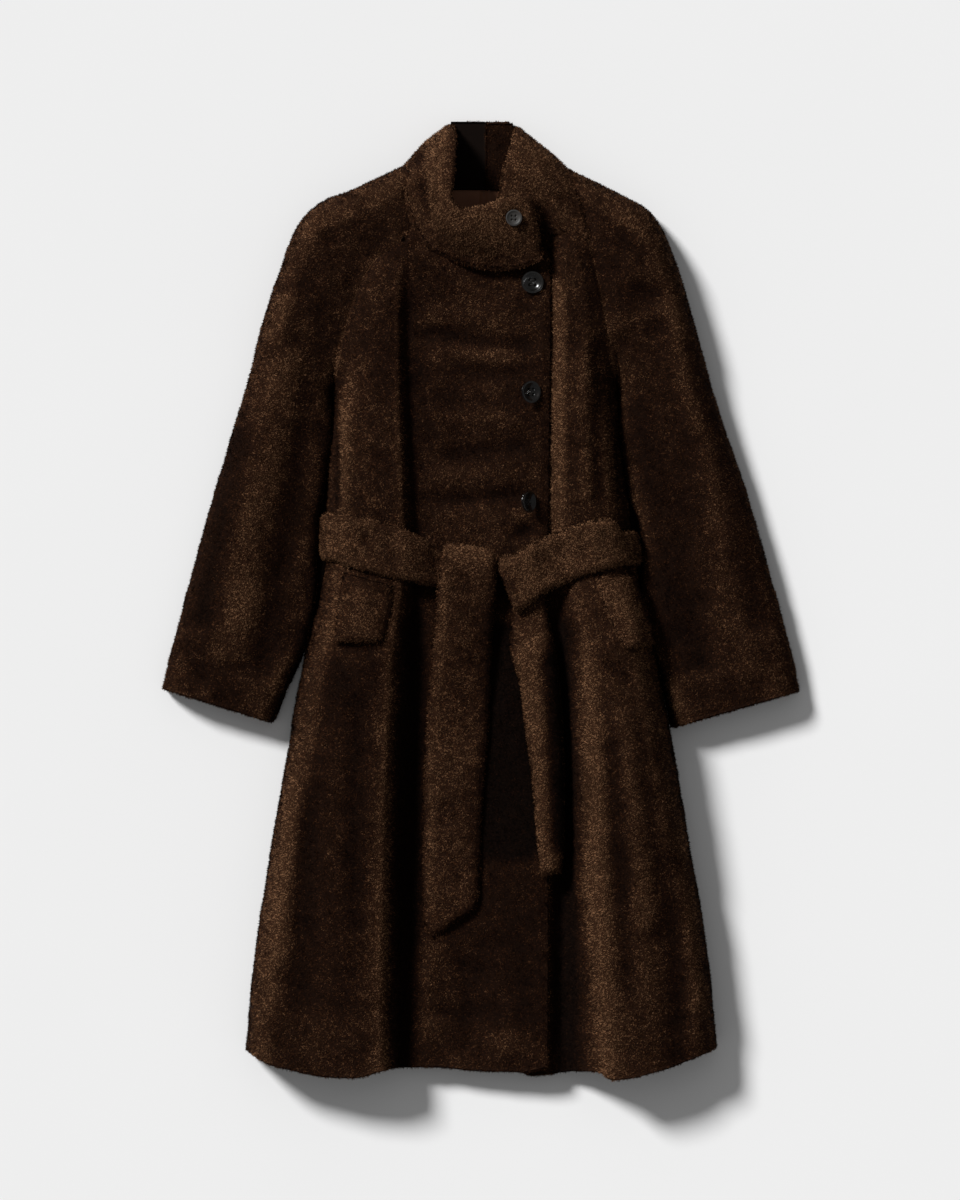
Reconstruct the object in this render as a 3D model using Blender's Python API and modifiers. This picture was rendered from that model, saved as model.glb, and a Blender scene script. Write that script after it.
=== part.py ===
"""Long wool pile coat with raglan sleeves, a buttoned funnel collar and a tie belt.

The coat lies on its back on a flat surface: +Z is up, out of its front, +Y runs to the
collar and +X to the wearer's left. The origin is below the middle of the coat, on that
surface. The tables are in millimetres, and every mesh is written in metres.

Every piece of cloth is an open sheet worked out from its sections and thickened with
Solidify. "right" and "left" are the wearer's, so the right front lies at -X.
"""
import math

import bmesh
import bpy
import numpy as np

MM = 0.001

# Cloth thicknesses, with the pile
CLOTH = 5.0
COLLAR_CLOTH = 8.0
BELT_CLOTH = 7.0
WELT_CLOTH = 5.0
LINING_CLOTH = 1.2

# Gaps and lifts
SEAM = 1.0              # in plan, between two sewn pieces
LAY = 0.6               # between two pieces, one above the other
BELT_LAY = 2.6          # between the belt and the folds that it crosses
OVERLAP_DROP = 8.5      # the left front's face below the right front's, where they overlap

# The tube that the body makes as it lies
UNDERARM = 246.0        # y of the underarm point
ARM_OPEN = 55.0         # length over which the side closes below the armhole
SIDE_ROUND = 30.0       # how far in the side's rounding reaches
SIDE_MIDDLE = 12.0      # height of the side seam
BACK_ROUND = 14.0       # how far in the back's rounding reaches
BELT_BAND = (30.0, 110.0)   # y of the stretch of belt that the back lies on
BELT_BAND_FADE = 30.0

# Side line of the body: y, x of the right side, x of the left side. Above the underarm
# it is the raglan seam.
SIDE = (
    (-591, -291, 291),
    (-555, -290, 290),
    (-501, -286, 286),
    (-430, -277, 277),
    (-346, -265, 264),
    (-270, -252, 251),
    (-192, -238, 238),
    (-110, -225, 222),
    (-50, -212, 210),
    (0, -199, 198),
    (60, -190, 188),
    (123, -190, 180),
    (190, -188, 175),
    (246, -184, 169),
    (290, -177, 163),
    (333, -168, 155),
    (355, -161, 151),
    (385, -150, 145),
    (417, -131, 138),
    (436, -105, 134),
    (458, -80, 131),
)

# Lengthwise folds of the right front: its side line, the outside, middle and crest of its
# roll, the valley, the panel, the placket and the front edge. Each row is y, then x of
# each fold line, then the height of each fold line.
RIGHT_SECTIONS = (
    (-591, (-291, -255, -190, -122, -96, -35, 25, 81), (58, 58, 64, 62, 24, 27, 30, 34)),
    (-500, (-286, -250, -188, -124, -94, -35, 25, 82), (60, 60, 66, 64, 24, 29, 33, 37)),
    (-350, (-265, -232, -175, -122, -92, -35, 25, 82), (64, 66, 72, 70, 27, 33, 38, 42)),
    (-200, (-239, -206, -160, -118, -86, -32, 25, 81), (66, 70, 76, 74, 31, 38, 43, 46)),
    (-60, (-214, -184, -148, -110, -80, -30, 25, 80), (66, 72, 78, 76, 42, 48, 50, 52)),
    (60, (-190, -164, -133, -98, -76, -28, 28, 81), (54, 60, 64, 64, 48, 50, 53, 56)),
    (150, (-190, -164, -134, -94, -76, -30, 28, 83), (56, 62, 68, 72, 50, 54, 60, 61)),
    (246, (-184, -158, -136, -94, -78, -30, 28, 84), (54, 62, 68, 73, 52, 55, 61, 62)),
    (333, (-168, -152, -128, -96, -80, -35, 25, 85), (52, 60, 66, 70, 54, 55, 60, 62)),
    (385, (-150, -140, -124, -97, -82, -38, 25, 85), (53, 60, 66, 68, 56, 55, 59, 61)),
    (417, (-131, -125, -113, -97, -83, -42, 25, 84), (55, 58, 62, 63, 58, 55, 57, 58)),
    (458, (-80, -77, -74, -71, -67, -52, 20, 84), (51, 51, 52, 52, 51, 50, 54, 57)),
)
RIGHT_NECK = (459, 456, 453, 449, 444, 434, 428, 424)   # y of each fold line's top end
# Hems: x and y of points along the lower edge
RIGHT_HEM = (
    (-291, -555), (-265, -570), (-240, -577), (-210, -583), (-179, -588), (-150, -587),
    (-128, -580), (-105, -576), (-55, -576), (0, -581), (55, -582), (78, -579), (84, -572),
)

# Lengthwise folds of the left front: its hidden edge, the line below the right front's
# edge, the valley, the rise, the crest, the plateau, the outside and the side line. The
# hidden edge takes its height from the right front.
LEFT_SECTIONS = (
    (-591, (50, 80, 100, 128, 160, 210, 252, 291), (0, 26, 18, 38, 66, 64, 56, 56)),
    (-500, (49, 82, 100, 126, 158, 206, 248, 286), (0, 28, 20, 42, 70, 68, 60, 60)),
    (-350, (47, 82, 99, 120, 149, 190, 228, 264), (0, 33, 24, 48, 76, 76, 68, 66)),
    (-200, (45, 81, 97, 117, 142, 175, 205, 239), (0, 37, 32, 54, 82, 84, 78, 72)),
    (-60, (42, 80, 95, 112, 130, 160, 185, 212), (0, 43, 44, 60, 78, 82, 78, 70)),
    (60, (38, 81, 90, 100, 112, 138, 162, 188), (0, 47, 50, 56, 62, 64, 60, 54)),
    (150, (35, 83, 89, 97, 106, 132, 152, 178), (0, 53, 54, 62, 68, 70, 66, 58)),
    (246, (32, 84, 90, 98, 106, 130, 148, 169), (0, 54, 55, 63, 68, 70, 65, 56)),
    (333, (30, 85, 91, 98, 106, 126, 140, 155), (0, 54, 55, 62, 67, 67, 62, 54)),
    (385, (28, 85, 91, 97, 104, 122, 134, 145), (0, 53, 55, 60, 63, 64, 60, 54)),
    (417, (26, 84, 90, 96, 103, 116, 127, 138), (0, 52, 54, 58, 61, 62, 59, 55)),
    (458, (24, 84, 89, 94, 100, 112, 122, 131), (0, 51, 53, 56, 58, 60, 58, 56)),
)
LEFT_NECK = (455, 453, 452, 451, 450, 448, 447, 446)    # y of each fold line's top end
LEFT_HEM = (
    (45, -580), (55, -586), (70, -587), (93, -584), (110, -581), (145, -580), (160, -590),
    (175, -590), (203, -583), (228, -577), (253, -567), (277, -558), (291, -553),
)
BACK_HEM_RISE = 7.0     # the back's hem above the fronts'

# Sleeve sections, neck to cuff: x and y of the seam end on top, x and y of the outer
# fold, crown height, height of the outer fold, bend of the section towards the neck.
RIGHT_SLEEVE = (
    (-82, 456, -98, 534, 50, 14, -4),
    (-107, 434, -127, 520, 56, 14, -1),
    (-132, 415, -160, 505, 60, 15, 0),
    (-150, 384, -190, 494, 62, 16, 0),
    (-161, 354, -212, 480, 62, 16, 0),
    (-168, 332, -226, 461, 61, 16, 0),
    (-177, 290, -250, 400, 58, 16, 0),
    (-184, 246, -268, 345, 55, 16, 0),
    (-190, 190, -289, 270, 51, 15, 0),
    (-200, 123, -313, 185, 48, 15, 0),
    (-202, 60, -337, 103, 46, 14, 0),
    (-208, 0, -356, 35, 44, 14, 0),
    (-217, -50, -370, -20, 42, 13, 0),
    (-239, -105, -384, -68, 39, 13, 0),
    (-258, -151, -393.5, -109, 36, 12, 0),
)
LEFT_SLEEVE = (
    (131, 446, 105, 533, 50, 14, 5),
    (136, 425, 130, 521, 56, 14, 2),
    (140, 407, 160, 506, 60, 15, 0),
    (147, 377, 190, 490, 62, 16, 0),
    (152, 349, 209, 477, 62, 16, 0),
    (156, 328, 223, 458, 61, 16, 0),
    (163, 288, 246, 400, 58, 16, 0),
    (169, 246, 262, 345, 55, 16, 0),
    (178, 190, 281, 272, 51, 15, 0),
    (190, 123, 310, 186, 48, 15, 0),
    (201, 60, 336, 105, 46, 14, 0),
    (202, 0, 356, 36, 44, 14, 0),
    (212, -50, 371, -20, 42, 13, 0),
    (225, -105, 384, -68, 39, 13, 0),
    (237, -157, 393.5, -112, 36, 12, 0),
)
SLEEVE_OUTER_ROUND = 34.0
SLEEVE_INNER_ROUND = 20.0
SLEEVE_DIP = 0.72       # height of the sleeve beside the body, as a share of its crown
FREE_CUFF = -80.0       # y below which the sleeve hangs clear of the body

# Collar, from the end of its tab, round the right of the neck and the back, to the open
# left wing: x, y, z of the neck seam, x, y, z of the free edge, bulge outwards.
COLLAR = (
    (75, 422, 73, 62, 498, 79, 3),
    (53, 413, 72, 44, 499, 81, 4),
    (30, 409, 71, 22, 491, 83, 5),
    (3, 410, 70, 0, 484, 84, 6),
    (-25, 417, 69, -17, 481, 85, 7),
    (-50, 428, 67, -29, 486, 86, 6),
    (-67, 440, 67, -34, 499, 86, 4),
    (-79, 459, 66, -33, 518, 85, 2),
    (-86.8, 480, 61, -33, 541, 80, 2),
    (-92, 505, 50, -33, 562, 70, 2),
    (-95.4, 523, 34, -35, 578, 52, 3),
    (-95.6, 536, 16, -38, 588, 28, 4),
    (-87, 533, 3, -36, 590, 8, 2),
    (-70, 523, 0, -28, 590, 0, 0),
    (-44, 512, 0, -16, 590, 0, 0),
    (0, 509, 0, 3, 590, 0, 0),
    (36, 511, 0, 22, 590, 0, 0),
    (60, 518, 0, 34, 590, 0, 0),
    (88, 530, 3, 42, 588, 5, 0),
    (101, 536, 16, 44, 585, 16, 2),
    (107, 526, 38, 40, 572, 38, 5),
    (114, 509, 52, 34, 552, 52, 6),
    (119, 492, 57, 28, 532, 58, 5),
    (124, 472, 59, 24, 510, 59, 4),
    (128, 454, 59, 20, 488, 58, 3),
    (129, 448, 59, 18, 470, 57, 2),
)
COLLAR_STEPS = 6

# Stretches of the tie belt: x, y of the middle, width along y, lift over the front.
BELT_RIGHT = (
    (-190, 77, 57, 0), (-156, 71, 64, 0), (-112, 60, 64, 0), (-78, 49, 58, 5),
    (-50, 38, 44, 3), (-20, 33, 38, 0),
)
BELT_LEFT = (
    (14, 39, 24, 7), (32, 30, 58, 11.4), (52, 24, 72, 12.4), (75, 38, 72, 9.4),
    (104, 53, 66, 2), (134, 64, 63, 0), (162, 69, 60, 0), (188, 63, 40, 0),
)
BELT_TURN_UNDER = 24.0  # how far a stretch reaches in below the back
BACK_BELT_GAP = 4.0     # from there to the stretch below the back
# Tails: x, y of the left rim, x, y of the right rim, heights of left rim, middle and
# right rim above the front.
FRONT_TAIL = (
    (-42, 70, 16, 58, 13, 14, 13),
    (-44, 71, 17, 60, 21, 22, 21),
    (-46, 64, 19, 52, 28, 29, 27),
    (-50, 48, 19, 38, 29, 30, 29),
    (-54, 20, 17, 14, 24, 26, 24),
    (-56, -10, 16, -14, 13, 15, 13),
    (-60, -50, 13, -52, 9, 11, 9),
    (-64, -95, 11, -95, 9, 10, 9),
    (-68, -160, 8, -160, 9, 10, 9),
    (-71, -230, 2, -230, 9, 10, 9),
    (-72, -300, -2, -300, 9, 10, 9),
    (-72, -350, -3, -348, 9, 10, 9),
    (-71, -395, -4, -366, 9, 10, 9),
    (-62, -417, -8, -382, 9, 10, 9),
)
REAR_TAIL = (
    (42, 4, 78, 4, 9, 10, 9),
    (40, -18, 82, -18, 9, 12, 9),
    (34, -48, 90, -48, 9, 17, 9),
    (36, -72, 95, -72, 9, 20, 9),
    (46, -105, 99, -105, 9, 20, 9),
    (52, -155, 103, -155, 9, 20, 9),
    (60, -215, 105, -215, 9, 19, 9),
    (65, -270, 105, -270, 9, 18, 9),
    (70, -318, 103, -318, 9, 16, 9),
    (74, -342, 100, -336, 9, 13, 9),
)

# Pocket welts, top to bottom: left x, right x, left y, right y, lift of left and right rim.
RIGHT_WELT = (
    (-168, -108, 32, 16, 1, 0),
    (-172, -109, 5, -4, 5, 0),
    (-176, -114, -25, -28, 5, 0),
    (-178, -119, -52, -52, 4, 0),
)
LEFT_WELT = (
    (142, 184, 26, 29, 0.3, 2),
    (151, 193, -6, -1, 0.3, 5),
    (163, 200, -34, -30, 0.3, 5),
    (177, 205, -60, -56, 0.3, 4),
)

# Front buttons: name, x, y, lean to the left in degrees, height of the back's middle above
# the front.
COAT_BUTTON = 27.0      # diameter
FRONT_BUTTONS = (
    ("button_top", 63, 390, 4, 1.6),
    ("button_middle", 60, 255, 32, 6.9),
    ("button_low", 57, 120, 52, 10.4),
)
TAB_BUTTON = 20.0       # diameter
TAB_PLACE = (40, 468)   # x, y on the collar's tab
TAB_LEAN = 3
TAB_RISE = 2.0
TAB_STATIONS = 5        # stations of the collar that lie in the tab, at its end
# Section of a button, from the middle of its dish over the rim to the middle of its
# back: share of the radius, height.
BUTTON_SECTION = ((0, 2.6), (0.62, 2.6), (0.78, 3.4), (0.9, 4.0), (1.0, 3.4), (1.0, 1.2), (0.9, 0), (0, 0))
BUTTON_STEPS = 24
LINING_EDGES = (-40, 32, 400, 506)      # left, right, low and high edge


# ---------------------------------------------------------------- interpolation
def column(table, index):
    """One column of a table, as an array."""
    return np.array([row[index] for row in table], float)


def slopes(x, v):
    """Monotone slopes at the points x, along the last axis, by the harmonic mean."""
    step = np.diff(x)
    rise = np.diff(v) / step
    low, high = rise[..., :-1], rise[..., 1:]
    same = low * high > 0
    mean = 2 * low * high / np.where(same, low + high, 1)
    inner = np.where(same, mean, 0)
    return np.concatenate([rise[..., :1], inner, rise[..., -1:]], -1)


def curve(x, v, at):
    """Smooth curve through the points (x, v), x rising, read at the array `at`."""
    x = np.asarray(x, float)
    v = np.asarray(v, float)
    m = slopes(x, v)
    at = np.clip(at, x[0], x[-1])
    i = np.clip(np.searchsorted(x, at, "right") - 1, 0, len(x) - 2)
    h = x[i + 1] - x[i]
    t = (at - x[i]) / h
    return (v[i] * (1 + 2 * t) * (1 - t) ** 2 + h * m[i] * t * (1 - t) ** 2
            + v[i + 1] * t ** 2 * (3 - 2 * t) - h * m[i + 1] * t ** 2 * (1 - t))


def across(x, v, at):
    """The same curve where every point of `at` has its own row of x and v."""
    m = slopes(x, v)
    at = np.clip(at, x[..., 0], x[..., -1])
    out = v[..., 0].copy()
    for i in range(x.shape[-1] - 1):
        h = x[..., i + 1] - x[..., i]
        t = np.clip((at - x[..., i]) / h, 0, 1)
        value = (v[..., i] * (1 + 2 * t) * (1 - t) ** 2 + h * m[..., i] * t * (1 - t) ** 2
                 + v[..., i + 1] * t ** 2 * (3 - 2 * t) - h * m[..., i + 1] * t ** 2 * (1 - t))
        out = np.where(at >= x[..., i], value, out)
    return out


def smooth_step(t):
    """0 below 0, 1 above 1, and an even rise between."""
    t = np.clip(t, 0, 1)
    return t * t * (3 - 2 * t)


# ---------------------------------------------------------------- the body's form
def side_x(side, y):
    """x of the side line: side -1 is the wearer's right, 1 the left."""
    return curve(column(SIDE, 0), column(SIDE, 1 if side < 0 else 2), y)


def arm_open(y):
    """1 where the side is open into a sleeve, 0 where it is closed."""
    return smooth_step((y - UNDERARM) / ARM_OPEN)


def belt_lift(y):
    """Height of the back over the stretch of belt below it."""
    low = smooth_step((y - BELT_BAND[0] + BELT_BAND_FADE) / BELT_BAND_FADE)
    high = smooth_step((BELT_BAND[1] + BELT_BAND_FADE - y) / BELT_BAND_FADE)
    return (BELT_CLOTH + LAY) * low * high


def seam_height(y):
    """Height of the side seam."""
    return SIDE_MIDDLE + belt_lift(y)


def lines_at(sections, y):
    """x and height of each fold line at the heights y: two arrays with one more axis."""
    levels = column(sections, 0)
    count = len(sections[0][1])
    x = np.stack([curve(levels, [row[1][i] for row in sections], y) for i in range(count)], -1)
    z = np.stack([curve(levels, [row[2][i] for row in sections], y) for i in range(count)], -1)
    return x, z


def side_rounding(side, x, y):
    """1 on top of the body, falling in a quarter ellipse to 0 at its side line."""
    inside = np.clip(side * (side_x(side, y) - x) / SIDE_ROUND, 0, 1)
    quarter = np.sqrt(1 - (1 - inside) ** 2)
    return 1 - (1 - quarter) * (1 - arm_open(y))


def right_height(x, y):
    """Height of the right front's face: its folds, rounded down to the side seam."""
    lines, heights = lines_at(RIGHT_SECTIONS, y)
    seam = seam_height(y) * (1 - arm_open(y))
    return seam + (across(lines, heights, x) - seam) * side_rounding(-1, x, y)


def left_height(x, y):
    """Height of the left front's face; below the right front it follows that one."""
    lines, heights = lines_at(LEFT_SECTIONS, y)
    heights[..., 0] = heights[..., 1]
    own = across(lines, heights, x)
    seam = seam_height(y) * (1 - arm_open(y))
    own = seam + (own - seam) * side_rounding(1, x, y)
    edge = lines[..., 1]
    below = right_height(np.minimum(x, edge), y) - OVERLAP_DROP
    under = smooth_step((edge + 7 - x) / 10)
    return np.where(x < edge, np.minimum(own, below), own * (1 - under) + np.minimum(own, below) * under)


def top_height(x, y):
    """Height of whichever front lies on top."""
    edge = lines_at(RIGHT_SECTIONS, y)[0][..., -1]
    return np.where(x < edge, right_height(x, y), left_height(x, y))


# ---------------------------------------------------------------- mesh building
def material(name, colour, roughness, metallic=0.0):
    """Principled material with a plain colour."""
    made = bpy.data.materials.new(name)
    made.use_nodes = True
    shader = made.node_tree.nodes["Principled BSDF"]
    shader.inputs["Base Color"].default_value = (*colour, 1.0)
    shader.inputs["Roughness"].default_value = roughness
    shader.inputs["Metallic"].default_value = metallic
    made.diffuse_color = (*colour, 1.0)
    return made


def normals(grid):
    """Unit normals of a grid of points, from its row and column directions."""
    down = np.gradient(grid, axis=0)
    along = np.gradient(grid, axis=1)
    n = np.cross(down, along)
    return n / np.maximum(np.linalg.norm(n, axis=-1, keepdims=True), 1e-9)


def cloth(name, grid, thickness, finish, weld=False):
    """Closed piece of cloth: `grid` is its outer face, rows x columns of points in
    millimetres, and the thickness goes in from it, away from rows x columns."""
    rows, columns = grid.shape[:2]
    index = np.arange(rows * columns).reshape(rows, columns)
    quads = np.stack([index[:-1, :-1], index[1:, :-1], index[1:, 1:], index[:-1, 1:]], -1).reshape(-1, 4)
    mesh = bpy.data.meshes.new(name)
    mesh.from_pydata((grid.reshape(-1, 3) * MM).tolist(), [], quads.tolist())
    if weld:
        work = bmesh.new()
        work.from_mesh(mesh)
        bmesh.ops.remove_doubles(work, verts=work.verts[:], dist=0.02 * MM)
        work.to_mesh(mesh)
        work.free()
    mesh.materials.append(finish)
    piece = bpy.data.objects.new(name, mesh)
    PARTS.objects.link(piece)
    wall = piece.modifiers.new("wall", "SOLIDIFY")
    wall.thickness = thickness * MM
    wall.offset = -1.0
    wall.use_even_offset = False
    return piece


def grid_of(x, y, z):
    """Grid of points from three arrays that broadcast to one shape."""
    x, y, z = np.broadcast_arrays(x, y, z)
    return np.stack([x, y, z], -1).astype(float)


# ---------------------------------------------------------------- panels
TURN = np.radians([30.0, 60.0, 90.0])      # steps round the side, from the seam up
FOOT = 4.0                                 # upright strip of cloth beside the side seam
STRIP = 0.07                               # width of that strip above the underarm, of the turn
# y of the grids' rows, neck to hem
FRONT_ROWS = (458, 436, 417, 385, 355, 333, 290, 268, 246, 190, 140, 110, 84, 58, 30, 0, -50, -110, -192,
              -270, -346, -430, -501, -555)
BACK_ROWS = (506, 480, 446, 400, 355, 320, 290, 268, 246, 190, 140, 125, 110, 84, 58, 30, 15, 0, -50, -110,
             -192, -270, -346, -430, -501, -548)
HEM_FROM = -430.0                          # rows below this bend to follow the hem
# Raglan seam of the back: y, x of the right side, x of the left side
BACK_SEAM = (
    (246, -184, 169), (290, -176, 161), (320, -166, 151), (355, -150, 137), (400, -124, 112),
    (446, -88, 84), (480, -64, 62), (506, -50, 50),
)


def side_columns(side, y, next_x, height):
    """Columns of a front from its side line inwards: an upright foot at the seam, then
    the turn, which ends short of the next fold line, at `next_x`."""
    opened = arm_open(y)
    edge = side_x(side, y) - side * SEAM / 2 * opened
    width = np.minimum(SIDE_ROUND, 0.9 * np.abs(next_x - edge))
    turned = 1 - np.cos(TURN) + 0 * y[:, 2:]
    x = edge - side * width * np.hstack([0 * y[:, :1], STRIP * opened[:, 1:2], turned])
    z = height(x, y)
    z[:, 0] += LAY / 2 * (1 - opened[:, 0])
    z[:, 1] += FOOT * (1 - opened[:, 0])
    return x, y, z


def front_grid(side, sections, neck, hem, height):
    """Outer face of a front. Each column follows a fold line from the neck to the hem."""
    count = len(neck)
    at = np.arange(2, 2 * count - 1) / 2
    if side > 0:
        at = (count - 1) - at[::-1]
    rows = np.array(FRONT_ROWS, float)[:, None]

    def bent(neck_y, hem_x):
        """y of every row, bent so that its columns reach from the neck to the hem."""
        to_neck = neck_y - FRONT_ROWS[0]
        to_hem = np.interp(hem_x, *zip(*hem)) - FRONT_ROWS[-1]
        neck_share = np.clip((rows - UNDERARM) / (FRONT_ROWS[0] - UNDERARM), 0, 1)
        hem_share = np.clip((rows - HEM_FROM) / (FRONT_ROWS[-1] - HEM_FROM), 0, 1)
        return rows + to_neck * neck_share + to_hem * hem_share

    index = np.arange(count)
    y = bent(np.interp(at, index, neck), np.interp(at, index, sections[0][1]))
    lines, _ = lines_at(sections, y)
    low = np.clip(np.floor(at).astype(int), 0, count - 2)
    share = at - low
    columns = np.arange(len(at))
    x = lines[:, columns, low] * (1 - share) + lines[:, columns, low + 1] * share
    z = height(x, y)
    end = 0 if side < 0 else count - 1
    reach = SIDE_ROUND * np.hstack([0, 0, 1 - np.cos(TURN)])
    seam_y = bent(neck[end] + 0 * reach, sections[0][1][end] - side * reach)
    next_x = x[:, :1] if side < 0 else x[:, -1:]
    sx, sy, sz = side_columns(side, seam_y, next_x, height)
    if side < 0:
        return grid_of(np.hstack([sx, x]), np.hstack([sy, y]), np.hstack([sz, z]))
    return grid_of(np.hstack([x, sx[:, ::-1]]), np.hstack([y, sy[:, ::-1]]), np.hstack([z, sz[:, ::-1]]))


def back_side_x(side, y):
    """x of the back's side line: above the underarm it is the back raglan seam."""
    seam = curve(column(BACK_SEAM, 0), column(BACK_SEAM, 1 if side < 0 else 2), y)
    return np.where(y > UNDERARM, seam, side_x(side, y))


def back_height(x, y):
    """Height of the back's lower face: flat, lifted over the belt and turned up at the
    sides."""
    inside = np.minimum(back_side_x(1, y) - x, x - back_side_x(-1, y)) / BACK_ROUND
    quarter = np.sqrt(1 - (1 - np.clip(inside, 0, 1)) ** 2)
    lift = belt_lift(y)
    return lift + (seam_height(y) - lift) * (1 - quarter) * (1 - arm_open(y))


def build_back():
    """Back panel, the one the coat lies on."""
    rows = np.array(BACK_ROWS, float)[:, None]
    hem = RIGHT_HEM + LEFT_HEM[3:]
    share = np.clip((rows - HEM_FROM) / (BACK_ROWS[-1] - HEM_FROM), 0, 1)
    parts = []
    for side in (-1, 1):
        opened = arm_open(rows)
        edge = back_side_x(side, rows) - side * SEAM / 2 * opened
        inward = BACK_ROUND * np.hstack([0 * rows, STRIP * opened, 1 - np.cos(TURN) + 0 * rows])
        x = edge - side * inward
        parts.append(x if side < 0 else x[:, ::-1])
    middle = np.linspace(0, 1, 6)[1:-1]
    left_in, right_in = parts[0][:, -1:], parts[1][:, :1]
    x = np.hstack([parts[0], left_in + (right_in - left_in) * middle, parts[1]])
    y = rows + 0 * x
    y = y + (np.interp(x, *zip(*hem)) + BACK_HEM_RISE - BACK_ROWS[-1]) * share
    z = back_height(x, y)
    closed = 1 - arm_open(rows[:, 0])
    for first, second in ((0, 1), (-1, -2)):
        z[:, second] -= FOOT * closed
        z[:, first] -= LAY / 2 * closed
    cloth("back", grid_of(x, y, z)[:, ::-1], CLOTH, PILE)


def build_fronts():
    """Right front on top, left front below its edge."""
    cloth("front_right", front_grid(-1, RIGHT_SECTIONS, RIGHT_NECK, RIGHT_HEM, right_height), CLOTH, PILE)
    cloth("front_left", front_grid(1, LEFT_SECTIONS, LEFT_NECK, LEFT_HEM, left_height), CLOTH, PILE)


# ---------------------------------------------------------------- sleeves
SLEEVE_TURN = np.radians([0.0, 30.0, 60.0, 90.0])
BACK_SEAM_ROWS = (504, 472, 436, 400, 370, 333, 290)    # y of the sleeve sections' back ends


def sleeve_grid(side, table):
    """Outer face of a sleeve, one row a section: from the seam over the top to the outer
    fold, and back below. Above the underarm it is open to the body."""
    seam_x, seam_y, fold_x, fold_y, crown, fold_z, bend = np.array(table, float).T[:, :, None]
    opened = arm_open(seam_y)
    closed = 1 - opened
    seam_x = np.where(seam_y < UNDERARM, seam_x, side_x(side, seam_y) + side * SEAM * 0.8)
    length = np.hypot(fold_x - seam_x, fold_y - seam_y)
    inner = np.minimum(SLEEVE_INNER_ROUND / length, 0.25)
    outer = np.minimum(SLEEVE_OUTER_ROUND / length, 0.4)
    steps = 1 - np.cos(SLEEVE_TURN)
    middle = np.array([0.3, 0.55, 0.8])
    share = np.hstack([inner * steps, inner + (1 - outer - inner) * middle, 1 - outer * steps[::-1]])
    q_in = np.sqrt(1 - (1 - np.clip(share / inner, 0, 1)) ** 2)
    q_out = np.sqrt(1 - (1 - np.clip((1 - share) / outer, 0, 1)) ** 2)
    height = right_height if side < 0 else left_height
    body = height(side_x(side, seam_y), seam_y)
    beside = np.where(seam_y < FREE_CUFF, crown * 0.94, crown * SLEEVE_DIP)
    start = np.where(opened > 0.02, body, beside)
    start = start * opened + beside * closed
    top = start + (crown - start) * smooth_step(share / 0.55)
    foot = fold_z * closed
    top = foot + (top - foot) * (1 - closed * (1 - q_in))
    top_z = fold_z + (top - fold_z) * q_out
    across_x, across_y = -(fold_y - seam_y) / length, (fold_x - seam_x) / length
    bow = np.abs(bend) * np.sin(np.pi * share)
    toward = np.sign(bend) * np.sign(across_x)
    top_x = seam_x + (fold_x - seam_x) * share + across_x * bow * toward
    top_y = seam_y + (fold_y - seam_y) * share + across_y * bow * toward

    under_inner = np.minimum(BACK_ROUND / length, 0.2)
    under = np.hstack([1 - under_inner * steps[1:], 0.5 + 0 * length, under_inner * steps[:0:-1]])
    under = np.hstack([under, 0 * length])
    u_in = np.sqrt(1 - (1 - np.clip(under / under_inner, 0, 1)) ** 2)
    u_out = np.sqrt(1 - (1 - np.clip((1 - under) / under_inner, 0, 1)) ** 2)
    back_y = seam_y.copy()
    back_y[:len(BACK_SEAM_ROWS), 0] = BACK_SEAM_ROWS
    back_x = seam_x.copy()
    count = len(BACK_SEAM_ROWS)
    back_x[:count] = back_side_x(side, back_y[:count]) + side * SEAM / 2
    under_x = back_x + (fold_x - back_x) * under
    under_y = back_y + (fold_y - back_y) * under
    under_z = fold_z * (1 - u_out) + foot * (1 - u_in)
    grid = grid_of(np.hstack([top_x, under_x]), np.hstack([top_y, under_y]), np.hstack([top_z, under_z]))
    return grid if side > 0 else grid[:, ::-1]


def build_sleeves():
    """Both raglan sleeves, sewn closed below the underarm."""
    cloth("sleeve_right", sleeve_grid(-1, RIGHT_SLEEVE), CLOTH, PILE, weld=True)
    cloth("sleeve_left", sleeve_grid(1, LEFT_SLEEVE), CLOTH, PILE, weld=True)


# ---------------------------------------------------------------- collar and lining
def collar_grid():
    """Outer face of the collar: rows from its free edge to the neck seam. Up from the
    seam it first lies flat, then rises in an S to the free edge."""
    stations = np.array(COLLAR, float)[::-1]
    seam, edge, bulge = stations[:, :3], stations[:, 3:6], stations[:, 6]
    share = np.linspace(1, 0, COLLAR_STEPS)[:, None, None]
    grid = seam + (edge - seam) * share
    grid[..., 2] = seam[:, 2] + (edge[:, 2] - seam[:, 2]) * smooth_step(share[..., 0] * 1.15)
    out = normals(grid)
    return grid + out * (bulge[:, None] * np.sin(np.pi * share))


def build_collar():
    """Funnel collar in one piece, and the lining seen inside the back of the neck."""
    cloth("collar", collar_grid(), COLLAR_CLOTH, PILE)
    left, right, low, high = LINING_EDGES
    x = np.linspace(left, right, 5)[None, :]
    y = np.linspace(high, low, 4)[:, None]
    cloth("lining", grid_of(x, y, CLOTH + LAY + LINING_CLOTH), LINING_CLOTH, SATIN)


# ---------------------------------------------------------------- belt
STRETCH_ROWS = np.linspace(0.5, -0.5, 5)[:, None]
RIGHT_BELT_COLUMNS = (-160, -146, -133, -120, -108, -98, -88, -76, -58, -40, -20)
LEFT_BELT_COLUMNS = (14, 32, 46, 60, 74, 88, 97, 104, 112, 124, 138, 150, 158)


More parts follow.
